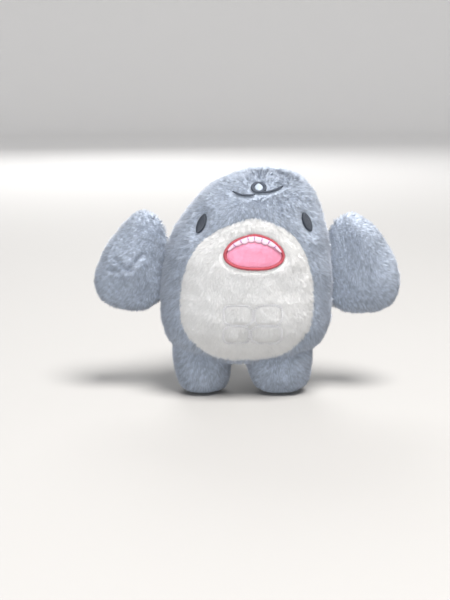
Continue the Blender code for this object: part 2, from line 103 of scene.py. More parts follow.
GREY = (0.470, 0.525, 0.615)
WHITE = (0.925, 0.919, 0.902)
RED = (0.385, 0.060, 0.080)
PINK = (0.820, 0.335, 0.465)
SLATE = (0.050, 0.062, 0.085)
TOOTH = (0.640, 0.450, 0.530)
LAVENDER = (0.300, 0.150, 0.360)
PAD_THREAD = (0.50, 0.50, 0.53)
# the snout's white dot, dulled to a grey blue: painted shade against the strong light from
# above on the crown
DOT_THREAD_PAINTED_SHADE = (0.38, 0.43, 0.50)
SHEEN_TINT = (0.86, 0.90, 1.0, 1.0)


# ---- materials

def shade(colour, factor):
    return [c * factor for c in colour]


def set_inputs(node, **values):
    for name, value in values.items():
        node.inputs[name.replace("_", " ")].default_value = value


def new_material(name, colour, roughness, sheen=0.0, sheen_roughness=0.5, specular=0.15):
    made = bpy.data.materials.new(name)
    made.use_nodes = True
    shader = made.node_tree.nodes["Principled BSDF"]
    set_inputs(shader, Base_Color=(*colour, 1.0), Roughness=roughness,
               Specular_IOR_Level=specular, Sheen_Weight=sheen,
               Sheen_Roughness=sheen_roughness)
    return made, shader


def mottle(made, shader, colour, scale, amount, bump_scale, bump):
    """Vary a material's colour with noise, and roughen it with fine bumps."""
    tree = made.node_tree
    place = tree.nodes.new("ShaderNodeTexCoord").outputs["Object"]
    ramp = tree.nodes.new("ShaderNodeValToRGB")
    for element, position, change in zip(ramp.color_ramp.elements, (0.32, 0.68),
                                         (-amount, amount)):
        element.position = position
        element.color = (*[min(1.0, c * (1.0 + change)) for c in colour], 1.0)
    noise = tree.nodes.new("ShaderNodeTexNoise")
    set_inputs(noise, Scale=scale, Detail=6.0, Roughness=0.7)
    fine = tree.nodes.new("ShaderNodeTexNoise")
    set_inputs(fine, Scale=bump_scale, Detail=4.0)
    lift = tree.nodes.new("ShaderNodeBump")
    set_inputs(lift, Strength=bump, Distance=0.0004)
    for start, end in ((place, noise.inputs["Vector"]),
                       (place, fine.inputs["Vector"]),
                       (noise.outputs["Fac"], ramp.inputs["Fac"]),
                       (ramp.outputs["Color"], shader.inputs["Base Color"]),
                       (fine.outputs["Fac"], lift.inputs["Height"]),
                       (lift.outputs["Normal"], shader.inputs["Normal"])):
        tree.links.new(start, end)
    return made


def backing(name, colour, blotches):
    """The knitted backing under the pile: seen only between strands, and given a colour darker
    than its pile's as painted shade for the shadow between strands.
    """
    made, shader = new_material(name, colour, 0.95, sheen=0.2)
    return mottle(made, shader, colour, 140.0, blotches, 2600.0, 0.6)


def pile_shades(name, colour, spread, count=5):
    """Slightly different dye lots of one pile, from dark to light."""
    shades = []
    for i in range(count):
        share = -1.0 + 2.0 * i / (count - 1)
        tone = [min(1.0, c * (1.0 + spread * share)) for c in colour]
        made, shader = new_material(f"{name}_{i}", tone, 0.90, sheen=0.40,
                                    sheen_roughness=0.35)
        set_inputs(shader, Sheen_Tint=SHEEN_TINT)
        shades.append(made)
    return shades


def thread(name, colour, spread=0.10):
    """Rayon embroidery thread: softly shiny, with fine twist along it."""
    made, shader = new_material(name, colour, 0.48, sheen=0.12, sheen_roughness=0.3,
                                specular=0.40)
    return mottle(made, shader, colour, 900.0, spread, 5200.0, 0.5)


def two_threads(name, colour, darker, spread=0.10):
    """Two shades of one thread, for every other stitch."""
    return [thread(f"{name}_a", colour, spread), thread(f"{name}_b", darker, spread)]


# ---- mesh helpers

def mesh_object(name, vertices, faces, materials):
    data = bpy.data.meshes.new(name)
    data.from_pydata([tuple(v) for v in vertices], [], [tuple(f) for f in faces])
    for made in materials:
        data.materials.append(made)
    data.polygons.foreach_set("use_smooth", [True] * len(data.polygons))
    data.update()
    made = bpy.data.objects.new(name, data)
    bpy.context.scene.collection.objects.link(made)
    return made


def unit(vectors):
    lengths = np.linalg.norm(vectors, axis=-1, keepdims=True)
    return vectors / np.maximum(lengths, 1e-12)


def triangles_of(faces):
    split = []
    for face in faces:
        for i in range(1, len(face) - 1):
            split.append((face[0], face[i], face[i + 1]))
    return np.array(split, int)


def vertex_normals(vertices, triangles):
    a, b, c = (vertices[triangles[:, i]] for i in range(3))
    across = np.cross(b - a, c - a)
    normals = np.zeros_like(vertices)
    for i in range(3):
        np.add.at(normals, triangles[:, i], across)
    return unit(normals)


def waves(points, size, seed, count=7):
    """Smooth noise between about -1 and 1: a few plane waves of mixed directions."""
    dice = np.random.default_rng(seed)
    total = np.zeros(len(points))
    for _ in range(count):
        direction = unit(dice.normal(size=3)[None, :])[0]
        wave = 2.0 * math.pi / (size * dice.uniform(0.7, 1.5))
        total += np.sin(points @ direction * wave + dice.uniform(0.0, 6.28))
    return total / math.sqrt(count)


def bell(value, height, width, middle=0.0):
    return height * np.exp(-((value - middle) / width) ** 2)


def ease(value, low, high):
    share = np.clip((value - low) / (high - low), 0.0, 1.0)
    return share * share * (3.0 - 2.0 * share)


def travelled(points):
    """How far along a line of points each one lies."""
    steps = np.linalg.norm(np.diff(np.array(points), axis=0), axis=1)
    return np.concatenate([[0.0], np.cumsum(steps)])


def nearest(points):
    """A tree that finds the nearest of some points."""
    tree = kdtree.KDTree(len(points))
    for i, point in enumerate(points):
        tree.insert(point, i)
    tree.balance()
    return tree


def rings_to_faces(count, turns, pole=None):
    """Quads between rings of points, and triangles to a pole point at each end."""
    faces = []
    for low in range(0, (count - 1) * turns, turns):
        high = low + turns
        for i in range(turns):
            j = (i + 1) % turns
            faces.append((low + i, low + j, high + j, high + i))
    if pole is not None:
        last = (count - 1) * turns
        faces += [(pole, (i + 1) % turns, i) for i in range(turns)]
        faces += [(pole + 1, last + i, last + (i + 1) % turns) for i in range(turns)]
    return faces


class Skin:
    """A closed skin as rings of points with a pole at each end."""

    def __init__(self, rings):
        self.turns = len(rings[0])
        self.count = len(rings)
        poles = [np.mean(rings[0], axis=0), np.mean(rings[-1], axis=0)]
        self.points = np.array([p for ring in rings for p in ring] + poles)
        self.first_pole = self.count * self.turns
        self.faces = rings_to_faces(self.count, self.turns, self.first_pole)
        self.settle()

    def settle(self):
        """Work the normals out again, and turn the faces outwards."""
        self.triangles = triangles_of(self.faces)
        a, b, c = (self.points[self.triangles[:, i]] for i in range(3))
        middle = self.points.mean(axis=0)
        volume = np.einsum("ij,ij->i", np.cross(b - a, c - a), a - middle).sum()
        if volume < 0.0:
            self.faces = [face[::-1] for face in self.faces]
            self.triangles = triangles_of(self.faces)
        self.normals = vertex_normals(self.points, self.triangles)

    def swell(self, push):
        """Move each point along its normal."""
        self.points += self.normals * push[:, None]
        self.settle()

    def ring_of(self, index):
        return index // self.turns

    def rings_of(self, items):
        """The first ring that each face or triangle touches, or the last at the far pole."""
        return np.array([self.ring_of(min(item)) if max(item) < self.first_pole
                         else (0 if max(item) == self.first_pole else self.count - 1)
                         for item in items])


# ---- cloth

CLOTH = {"quality": 4, "mass": 0.2, "tension_stiffness": 12.0, "compression_stiffness": 12.0,
         "shear_stiffness": 6.0, "bending_stiffness": 0.6, "use_pressure": True,
         "vertex_group_mass": "pins"}
CLOTH_FRAMES = 16
NEIGHBOURS = 6               # simulated points that move one point of the skin
PUCKER_PITCH = 0.0062


def inflate(name, skin, seam_points, pinned_within, pressure, cap, voxel=0.0045):
    """Blow a skin up like stuffed cloth that is held along its seams."""
    source = mesh_object(f"{name}_cloth", skin.points, skin.faces, [])
    remesh = source.modifiers.new("remesh", "REMESH")
    remesh.mode = "VOXEL"
    remesh.voxel_size = voxel
    graph = bpy.context.evaluated_depsgraph_get()
    data = bpy.data.meshes.new_from_object(source.evaluated_get(graph))
    bpy.data.objects.remove(source)
    blown = bpy.data.objects.new(f"{name}_cloth", data)
    scene = bpy.context.scene
    scene.collection.objects.link(blown)
    rest = np.array([v.co for v in data.vertices])

    seams = nearest(seam_points)
    pins = blown.vertex_groups.new(name="pins")
    for i, point in enumerate(rest):
        if seams.find(point)[2] < pinned_within:
            pins.add([i], 1.0, "REPLACE")

    cloth = blown.modifiers.new("cloth", "CLOTH")
    for setting, value in CLOTH.items():
        setattr(cloth.settings, setting, value)
    cloth.settings.uniform_pressure_force = pressure
    cloth.settings.effector_weights.gravity = 0.0
    cloth.collision_settings.use_collision = False
    for step in range(1, CLOTH_FRAMES + 1):
        scene.frame_set(step)
    graph = bpy.context.evaluated_depsgraph_get()
    moved = np.array([v.co for v in blown.evaluated_get(graph).data.vertices]) - rest
    scene.frame_set(1)
    bpy.data.objects.remove(blown)

    moved *= cap / np.maximum(np.linalg.norm(moved, axis=1, keepdims=True), cap)
    near = nearest(rest)
    for i, point in enumerate(skin.points):
        total = np.zeros(3)
        weight = 0.0
        for _, index, distance in near.find_n(point, NEIGHBOURS):
            share = 1.0 / (distance * distance + 1e-6)
            total += moved[index] * share
            weight += share
        skin.points[i] += total / weight
    skin.settle()


def press_seams(skin, seam_points, depth, width):
    """Draw the skin in along its seams, with small puckers beside the stitches."""
    seams = nearest(seam_points)
    along = travelled(seam_points)
    for i, point in enumerate(skin.points):
        _, index, distance = seams.find(point)
        if distance > 6.0 * width:
            continue
        groove = math.exp(-(distance / width) ** 2)
        pucker = math.sin(along[index] * 2.0 * math.pi / PUCKER_PITCH)
        fade = math.exp(-distance / (2.2 * width)) * min(1.0, distance / width)
        skin.points[i] -= skin.normals[i] * (depth * groove + 0.12 * depth * pucker * fade)
    skin.settle()


# ---- pile

PILE_LEAN = 0.62             # radians from upright
UPRIGHT = 0.70               # the share of its lean that pile keeps where its comb meets
                             # the skin head on
TURN_SCATTER, TILT_SCATTER = 0.28, 0.27
TILT_LIMITS = (0.05, 1.35)
REACH_LIMITS = (0.62, 1.18)
ROOT_DEPTH = 0.0004          # a strand starts this far inside the skin
TURN_SIZE, TILT_SIZE, REACH_SIZE, TUFT_SIZE, TONE_SIZE = 0.026, 0.013, 0.008, 0.006, 0.004
CELL_HASH = (73856093, 19349663, 83492791)


def tangent(directions, normals):
    flat = directions - normals * np.einsum("ij,ij->i", directions, normals)[:, None]
    return unit(flat)


def grow_pile(name, skin, chosen, density, length, comb, shades, seed, keep=None,
              lean=PILE_LEAN, radius=0.00026, clump=0.0021, clump_pull=0.60, swirl=0.36):
    """Cover some of a skin's triangles with leaning, clumped strands, as one mesh.

    The density is in strands for each square millimetre. keep gives each root's share of
    the full length, and no strand grows where that is nearly nothing.
    """
    dice = np.random.default_rng(seed)
    triangles = skin.triangles[chosen]
    a, b, c = (skin.points[triangles[:, i]] for i in range(3))
    area = 0.5 * np.linalg.norm(np.cross(b - a, c - a), axis=1)
    count = int(area.sum() * density * 1e6)
    picked = np.searchsorted(np.cumsum(area) / area.sum(), dice.uniform(size=count))
    picked = np.minimum(picked, len(triangles) - 1)
    u, v = dice.uniform(size=(2, count))
    over = u + v > 1.0
    u[over], v[over] = 1.0 - u[over], 1.0 - v[over]
    corners = triangles[picked]
    roots, normals = (places[corners[:, 0]] * (1.0 - u - v)[:, None]
                      + places[corners[:, 1]] * u[:, None]
                      + places[corners[:, 2]] * v[:, None]
                      for places in (skin.points, skin.normals))
    normals = unit(normals)
    size = np.ones(count)
    if keep is not None:
        size = keep(roots)
        kept = size > 0.05
        roots, normals, size = roots[kept], normals[kept], size[kept]
        count = len(roots)

    wanted = unit(comb(roots))
    across = tangent(wanted, normals)
    head_on = np.abs(np.einsum("ij,ij->i", wanted, normals))
    stand = UPRIGHT + (1.0 - UPRIGHT) * ease(np.sqrt(1.0 - np.minimum(head_on, 1.0) ** 2),
                                             0.05, 0.60)
    side = np.cross(normals, across)
    turn = (swirl * waves(roots, TURN_SIZE, seed + 1)
            + dice.normal(scale=TURN_SCATTER, size=count))
    across = across * np.cos(turn)[:, None] + side * np.sin(turn)[:, None]
    tilt = lean * (1.0 + 0.15 * waves(roots, TILT_SIZE, seed + 2)
                   + dice.normal(scale=TILT_SCATTER, size=count))
    tilt = np.clip(tilt * stand, *TILT_LIMITS)
    reach = length * size * dice.uniform(*REACH_LIMITS, count)
    reach *= 1.0 + 0.10 * waves(roots, REACH_SIZE, seed + 3)
    tips = roots + reach[:, None] * (normals * np.cos(tilt)[:, None]
                                     + across * np.sin(tilt)[:, None])

    # Strands that start in one cell of a wavy grid lean together, as a tuft
    wobble = np.stack([waves(roots, TUFT_SIZE, seed + 4 + k, 4) for k in range(3)], axis=1)
    cells = np.floor((roots + 0.35 * clump * wobble) / clump).astype(np.int64)
    _, tuft = np.unique(np.bitwise_xor.reduce(cells * CELL_HASH, axis=1), return_inverse=True)
    tufts = tuft.max() + 1
    members = np.bincount(tuft, minlength=tufts)
    gathered = np.stack([np.bincount(tuft, tips[:, k], tufts) / members for k in range(3)], 1)
    pull = clump_pull * dice.uniform(0.5, 1.0, count)
    tips += (gathered[tuft] - tips) * pull[:, None]

    # Each strand is a thin pyramid on three corners
    spin = dice.uniform(0.0, 2.0 * math.pi, count)
    growth = unit(tips - roots)
    first = unit(np.cross(growth, normals + 0.01 * across + 1e-4))
    second = np.cross(growth, first)
    thick = radius * dice.uniform(0.75, 1.25, count) * np.sqrt(size)
    points = np.empty((count, 4, 3))
    for corner in range(3):
        angle = spin + corner * 2.0 * math.pi / 3.0
        ring = first * np.cos(angle)[:, None] + second * np.sin(angle)[:, None]
        points[:, corner] = roots - normals * ROOT_DEPTH + ring * thick[:, None]
    points[:, 3] = tips

    tone = 0.5 + 0.22 * waves(roots, TONE_SIZE, seed + 9) + dice.normal(scale=0.26, size=count)
    tone += 0.10 * dice.normal(size=tufts)[tuft]
    slots = np.clip((tone * len(shades)).astype(int), 0, len(shades) - 1)
    base = 4 * np.arange(count)[:, None]
    faces = np.concatenate([base + np.array(corners)[None, :] for corners in
                            ((0, 1, 3), (1, 2, 3), (2, 0, 3), (0, 2, 1))], axis=1)
    faces = faces.reshape(-1, 3)
    data = bpy.data.meshes.new(name)
    data.vertices.add(4 * count)
    data.vertices.foreach_set("co", points.astype(np.float32).ravel())
    data.loops.add(len(faces) * 3)
    data.loops.foreach_set("vertex_index", faces.astype(np.int32).ravel())
    data.polygons.add(len(faces))
    data.polygons.foreach_set("loop_start", np.arange(0, len(faces) * 3, 3, dtype=np.int32))
    data.polygons.foreach_set("material_index", np.repeat(slots, 4).astype(np.int32))
    data.polygons.foreach_set("use_smooth", np.ones(len(faces), bool))
    for made in shades:
        data.materials.append(made)
    data.update()
    soft = unit(normals + growth * 0.35 + dice.normal(scale=0.15, size=(count, 3)))
    data.normals_split_custom_set_from_vertices(np.repeat(soft, 4, axis=0).tolist())
    made = bpy.data.objects.new(name, data)
    bpy.context.scene.collection.objects.link(made)
    return made


# ---- body

FRONT_LOW, FRONT_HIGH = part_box("body_front_panel")
BELLY_LOW, BELLY_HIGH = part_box("belly_panel")
BACK_LOW, BACK_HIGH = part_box("back_panel_left")
SEAT_Z, CROWN_Z = FRONT_LOW[2], FRONT_HIGH[2]
MIDDLE_Z = SEAT_Z + MIDDLE_SHARE * (CROWN_Z - SEAT_Z)
RISE, DROP = CROWN_Z - MIDDLE_Z, MIDDLE_Z - SEAT_Z
HALF_WIDTH = (FRONT_HIGH[0] - FRONT_LOW[0]) / 2.0
LEAN_BASE = (FRONT_HIGH[0] + FRONT_LOW[0]) / 2.0
LEAN_START_Z = SEAT_Z + LEAN_START_SHARE * (CROWN_Z - SEAT_Z)
BODY_Y = (BELLY_LOW[1] + BACK_HIGH[1]) / 2.0
HALF_DEPTH = (BACK_HIGH[1] - BELLY_LOW[1]) / 2.0


def signed_power(value, power):
    return np.sign(value) * np.abs(value) ** power


def rim_height(r):
    return np.maximum(0.0, 1.0 - np.maximum(r, 0.0) ** FULLNESS) ** (1.0 / FULLNESS)


def body_lean(z):
    share = np.maximum(0.0, (z - LEAN_START_Z) / (CROWN_Z - LEAN_START_Z))
    return LEAN_BASE + LEAN_RISE * share ** LEAN_POWER


def body_points(turn, r, side, shrink):
    upper = np.sin(turn) >= 0.0
    power = np.where(upper, 2.0 / UPPER_POWER, 2.0 / LOWER_POWER)
    extent = np.where(upper, RISE, DROP) - shrink
    z = MIDDLE_Z + extent * r * signed_power(np.sin(turn), power)
    x = body_lean(z) + (HALF_WIDTH - shrink) * r * signed_power(np.cos(turn), power)
    y = BODY_Y + side * (HALF_DEPTH - shrink) * rim_height(r)
    return np.stack([x, y, z], axis=-1)


def body_share(points, shrink=0.0):
    """How far out a point lies in the body: below 1 is inside it."""
    x, y, z = points[:, 0], points[:, 1], points[:, 2]
    upper = z >= MIDDLE_Z
    power = np.where(upper, UPPER_POWER, LOWER_POWER)
    extent = np.where(upper, RISE, DROP) - shrink
    across = np.abs(x - body_lean(z)) / (HALF_WIDTH - shrink)
    along = np.abs(z - MIDDLE_Z) / extent
    r = (across ** power + along ** power) ** (1.0 / power)
    out = np.abs(y - BODY_Y) / (HALF_DEPTH - shrink)
    return (r ** FULLNESS + out ** FULLNESS) ** (1.0 / FULLNESS)


def belly_edge(turn):
    rise = np.sin(turn)
    edge = BELLY_MEAN + BELLY_SIDES * np.cos(2.0 * turn)
    edge -= BELLY_TOP * np.maximum(0.0, rise) ** 2
    edge += BELLY_BOTTOM * np.maximum(0.0, -rise) ** 5
    off_top = (np.mod(turn, 2.0 * math.pi) - 0.5 * math.pi) / BELLY_POINT_WIDTH
    return edge + BELLY_POINT * np.exp(-off_top * off_top)


def make_body_skin():
    turn = np.arange(TURNS) * 2.0 * math.pi / TURNS
    edge = belly_edge(turn)
    rings = [body_points(turn, edge * (i / BELLY_RINGS), -1, SKIN_DEPTH)
             for i in range(1, BELLY_RINGS + 1)]
    for i in range(1, FRONT_RINGS + 1):
        share = math.sin(0.5 * math.pi * i / FRONT_RINGS)
        rings.append(body_points(turn, edge + (1.0 - edge) * share, -1, SKIN_DEPTH))
    for i in range(1, BACK_RINGS):
        share = math.cos(0.5 * math.pi * i / BACK_RINGS)
        rings.append(body_points(turn, share + 0.0 * turn, 1, SKIN_DEPTH))
    skin = Skin(rings)
    belly_seam = [Vector(p) for p in rings[BELLY_RINGS - 1]]
    side_seam = [Vector(p) for p in rings[BELLY_RINGS + FRONT_RINGS - 1]]
    centre_back = [Vector(ring[TURNS // 4]) for ring in rings[BELLY_RINGS + FRONT_RINGS:]]
    centre_back += [Vector(ring[3 * TURNS // 4])
                    for ring in rings[BELLY_RINGS + FRONT_RINGS:][::-1]]
    return skin, belly_seam, side_seam, centre_back


def middle_of(node):
    low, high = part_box(node)
    return [(low[k] + high[k]) / 2.0 for k in range(3)]


def half_of(node):
    low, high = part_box(node)
    return [(high[k] - low[k]) / 2.0 for k in range(3)]


EYE_TILTS = {"right": math.radians(25.0), "left": math.radians(-24.0)}
EYE_HALF = (0.0038, 0.0088)
OUTLINE_WIDTH = 0.0030
MOUTH_UPPER_POWER = 1.70
MOUTH_LOWER_POWER = 2.30
MOUTH_TILT = math.radians(-2.0)
MOUTH_RISE_SHARE = 0.59
MOUTH_INSET = 0.0008         # the stitches' width beyond the line that they follow
PAD_POWER = 3.8
PADS = [f"belly_stitch_{row}_{column}" for row in ("upper", "lower")
        for column in ("left", "right")]

# Relief of the face, as height, width and middle for bell(): in shares of a feature's
# outline for the eyes and the mouth, and in metres for the snout and the pads
EYE_DIMPLE, EYE_SWELL = (0.0022, 1.5), (0.0010, 0.6, 2.1)
SNOUT_DIMPLE = (0.0009, 0.008)
MOUTH_GROOVE, MOUTH_SWELL = (0.0010, 0.12, 0.97), (0.0003, 0.16, 1.30)
PAD_GROOVE = (0.0003, 0.0011)
PAD_PUFF, PAD_PUFF_INSET, PAD_PUFF_SLOPE = 0.0002, 0.0015, 0.0006
LUMPS = ((0.0007, 0.045, 11), (0.0003, 0.016, 12))      # height, size and seed


def mouth_frame():
    """Where the mouth's outline is widest, as (x, z), with its half width and height."""
    low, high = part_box("mouth_outline")
    height = high[2] - low[2]
    return ((low[0] + high[0]) / 2.0, high[2] - MOUTH_RISE_SHARE * height,
            (high[0] - low[0]) / 2.0, height)


def mouth_point(turn, inset):
    """Point of the mouth's outline, moved in from its outer edge, as (x, z)."""
    x_mid, z_mid, half_width, height = mouth_frame()
    upper = math.sin(turn) > 0.0
    power = 2.0 / (MOUTH_UPPER_POWER if upper else MOUTH_LOWER_POWER)
    extent = height * (MOUTH_RISE_SHARE if upper else 1.0 - MOUTH_RISE_SHARE)
    half_width -= MOUTH_INSET
    across = (half_width - inset) * float(signed_power(math.cos(turn), power))
    along = (extent - inset) * float(signed_power(math.sin(turn), power))
    x = x_mid + across * math.cos(MOUTH_TILT) - along * math.sin(MOUTH_TILT)
    return x, z_mid + across * math.sin(MOUTH_TILT) + along * math.cos(MOUTH_TILT)


def mouth_share(x, z):
    """How far out from the mouth's middle a point of the face lies: 1 on its outline."""
    x_mid, z_mid, half_width, height = mouth_frame()
    x_off, z_off = x - x_mid, z - z_mid
    across = x_off * math.cos(MOUTH_TILT) + z_off * math.sin(MOUTH_TILT)
    along = -x_off * math.sin(MOUTH_TILT) + z_off * math.cos(MOUTH_TILT)
    upper = along > 0.0
    power = np.where(upper, MOUTH_UPPER_POWER, MOUTH_LOWER_POWER)
    extent = height * np.where(upper, MOUTH_RISE_SHARE, 1.0 - MOUTH_RISE_SHARE)
    return ((np.abs(across) / half_width) ** power
            + (np.abs(along) / extent) ** power) ** (1.0 / power)


def eye_share(side, x, z):
    middle = middle_of(f"eye_{side}")
    tilt = EYE_TILTS[side]
    across = (x - middle[0]) * math.cos(tilt) - (z - middle[2]) * math.sin(tilt)
    along = (x - middle[0]) * math.sin(tilt) + (z - middle[2]) * math.cos(tilt)
    return np.hypot(across / EYE_HALF[0], along / EYE_HALF[1])


def pad_share(pad, x, z):
    middle, half = middle_of(pad), half_of(pad)
    return ((np.abs(x - middle[0]) / half[0]) ** PAD_POWER
            + (np.abs(z - middle[2]) / half[2]) ** PAD_POWER) ** (1.0 / PAD_POWER)


def shape_face(skin):
    """Dimples round the eyes and snout, quilted pads, a padded mouth and soft lumps."""
    x, y, z = skin.points.T
    front = y < BODY_Y
    push = sum(height * waves(skin.points, size, seed) for height, size, seed in LUMPS)
    for side in SIDES:
        share = eye_share(side, x, z)
        push -= front * bell(share, *EYE_DIMPLE)
        push += front * bell(share, *EYE_SWELL)
    snout = middle_of("snout_ring")
    push -= front * bell(np.hypot(x - snout[0], (z - snout[2]) * 1.4), *SNOUT_DIMPLE)
    share = mouth_share(x, z)
    push -= front * bell(share, *MOUTH_GROOVE)
    push += front * bell(share, *MOUTH_SWELL)
    for pad in PADS:
        line = (pad_share(pad, x, z) - 1.0) * min(half_of(pad)[0], half_of(pad)[2])
        push -= front * bell(line, *PAD_GROOVE)
        inside = np.clip((line + PAD_PUFF_INSET) / PAD_PUFF_SLOPE, -30, 30)
        push += front * PAD_PUFF / (1.0 + np.exp(inside))
    skin.swell(push)


class Surface:
    """Places points on the front or back of the finished body skin."""

    def __init__(self, skin):
        self.skin = skin
        self.tree = BVHTree.FromPolygons([Vector(p) for p in skin.points],
                                         [tuple(t) for t in skin.triangles])

    def at(self, x, z, lift, side=-1):
        start = Vector((x, BODY_Y + side * 0.3, z))
        place, _, index, _ = self.tree.ray_cast(start, Vector((0.0, -side, 0.0)))
        if place is None:
            place, _, index, _ = self.tree.find_nearest(Vector((x, BODY_Y + side * 0.02, z)))
        corners = self.skin.triangles[index]
        normal = unit(self.skin.normals[corners].mean(axis=0)[None, :])[0]
        return np.array(place) + normal * lift


# ---- embroidery

MOUTH_PITCH, THREAD_PITCH, PAD_PITCH = 0.00046, 0.00042, 0.00200
PATCH_TURNS, PATCH_RINGS, PATCH_THICKNESS = 96, 16, 0.0014
TEETH, TEETH_START = 8, 0.30               # the strip starts this far round from a corner
TOOTH_LENGTH, SCALLOP = 0.0026, 0.0018
CLOSING_STITCHES = 13


def satin(name, surface, edge_a, edge_b, lift, crown, radius, materials, side=-1, skew=0.35):
    """Satin stitch: one short thread from each point of edge_a to its fellow on edge_b."""
    across_steps, around_steps = 7, 5
    vertices, faces, slots = [], [], []
    count = len(edge_a)
    dice = np.random.default_rng(len(name) * 101 + count)
    for i in range(count):
        ax, az = edge_a[i]
        bx, bz = edge_b[i]
        nx, nz = edge_b[min(i + 1, count - 1)]
        bx += (nx - bx) * skew
        bz += (nz - bz) * skew
        line = []
        for step in range(across_steps):
            share = step / (across_steps - 1)
            arch = math.sqrt(max(0.0, 1.0 - (2.0 * share - 1.0) ** 2))
            level = lift + crown * arch + dice.normal(scale=0.00003)
            line.append(surface.at(ax + (bx - ax) * share, az + (bz - az) * share, level, side))
        line = np.array(line)
        along = unit(np.gradient(line, axis=0))
        outward = np.array([0.0, side, 0.0])
        first = unit(np.cross(along, outward[None, :] + 1e-6))
        second = np.cross(first, along)
        start = len(vertices)
        thick = radius * dice.uniform(0.92, 1.08)
        for step in range(across_steps):
            slim = thick * (0.7 if step in (0, across_steps - 1) else 1.0)
            for corner in range(around_steps):
                angle = 2.0 * math.pi * corner / around_steps
                vertices.append(line[step] + first[step] * slim * math.cos(angle)
                                + second[step] * slim * math.sin(angle))
        for step in range(across_steps - 1):
            for corner in range(around_steps):
                other = (corner + 1) % around_steps
                low = start + step * around_steps
                high = low + around_steps
                faces.append((low + corner, low + other, high + other, high + corner))
        faces.append(tuple(start + c for c in range(around_steps))[::-1])
        faces.append(tuple(start + (across_steps - 1) * around_steps + c
                           for c in range(around_steps)))
        slots += [i % len(materials)] * (around_steps * (across_steps - 1) + 2)
    made = mesh_object(name, vertices, faces, materials)
    made.data.polygons.foreach_set("material_index", slots)
    return made


def spaced_turns(point_at, pitch, first=0.0, last=2.0 * math.pi):
    """Angles at which a curve's points lie a pitch apart."""
    fine = np.linspace(first, last, 721)
    along = travelled([point_at(turn) for turn in fine])
    count = max(2, int(round(along[-1] / pitch)))
    return np.interp(np.linspace(0.0, along[-1], count + 1), along, fine)


def finish_piece(piece, body, slot_name, *nodes):
    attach(piece, body)
    if nodes:
        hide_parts(*nodes)
    return piece


def make_mouth_edge(surface):
    turns = spaced_turns(lambda t: mouth_point(t, 0.0), MOUTH_PITCH)[:-1]
    edge = satin("mouth_outline_stitches", surface, [mouth_point(t, 0.0) for t in turns],
                 [mouth_point(t, OUTLINE_WIDTH) for t in turns], lift=0.0014, crown=0.0015,
                 radius=0.00030, materials=two_threads("red_thread", RED, shade(RED, 0.88)))
    finish_piece(edge, "torso", "red_embroidery", "mouth_outline")


def make_mouth_patch(surface):
    """The pink velour inside the mouth, a padded patch with a short nap."""
    x_mid, _, z_mid = middle_of("mouth_outline")
    rings = []
    for share in np.linspace(0.06, 1.0, PATCH_RINGS):
        ring = []
        for i in range(PATCH_TURNS):
            x, z = mouth_point(2.0 * math.pi * i / PATCH_TURNS, OUTLINE_WIDTH * 0.7)
            level = 0.0012 + 0.0011 * (1.0 - share ** 3)
            ring.append(surface.at(x_mid + (x - x_mid) * share, z_mid + (z - z_mid) * share,
                                   level))
        rings.append(ring)
    behind = np.array([0.0, PATCH_THICKNESS, 0.0])
    rings += [[p + behind for p in ring] for ring in (rings[-1], rings[0])]
    patch = Skin([np.array(ring) for ring in rings])
    fabric, shader = new_material("pink_velour", PINK, 0.85, sheen=0.6, sheen_roughness=0.4)
    mottle(fabric, shader, PINK, 260.0, 0.06, 3200.0, 0.5)
    cloth = mesh_object("mouth_velour", patch.points, patch.faces, [fabric])
    finish_piece(cloth, "torso", "pink_felt", "mouth_patch")
    top = patch.ring_of(patch.triangles.min(axis=1)) < PATCH_RINGS - 2
    nap = grow_pile("mouth_velour_nap", patch, np.where(top)[0], 9.0, 0.0009,
                    lambda p: np.tile([0.2, 0.0, -1.0], (len(p), 1)),
                    pile_shades("pink_nap", PINK, 0.05, 3), 71, lean=0.55, radius=0.00013,
                    clump=0.0012, clump_pull=0.2, swirl=0.3)
    finish_piece(nap, "torso", "pink_felt")


def make_teeth(surface):
    """A scalloped white strip under the upper lip, with a stitch between teeth."""
    turns = spaced_turns(lambda t: mouth_point(t, OUTLINE_WIDTH), THREAD_PITCH, TEETH_START,
                         math.pi - TEETH_START)
    outer, inner = [], []
    for i, turn in enumerate(turns):
        along = (i / (len(turns) - 1) * TEETH) % 1.0
        scallop = (1.0 - abs(2.0 * along - 1.0) ** 2.6) ** 0.5
        end = min(1.0, 2.4 * min(i, len(turns) - 1 - i) / len(turns) + 0.30)
        outer.append(mouth_point(turn, OUTLINE_WIDTH * 0.9))
        inner.append(mouth_point(turn, OUTLINE_WIDTH + end * (TOOTH_LENGTH
                                                              + SCALLOP * scallop)))
    teeth = satin("teeth_stitches", surface, outer, inner, lift=0.0026, crown=0.0006,
                  radius=0.00029, skew=0.0,
                  materials=two_threads("tooth_thread", TOOTH, shade(TOOTH, 0.94), 0.04))
    finish_piece(teeth, "torso", "white_embroidery", "teeth_strip")
    between = [turns[int(round(i * (len(turns) - 1) / TEETH))] for i in range(1, TEETH)]
    gaps = satin("teeth_gap_stitches", surface,
                 [mouth_point(turn, OUTLINE_WIDTH) for turn in between],
                 [mouth_point(turn, OUTLINE_WIDTH + 0.0022) for turn in between],
                 lift=0.0031, crown=0.0006, radius=0.00042, skew=0.0,
                 materials=[thread("lavender_thread", LAVENDER)])
    finish_piece(gaps, "torso", "white_embroidery")


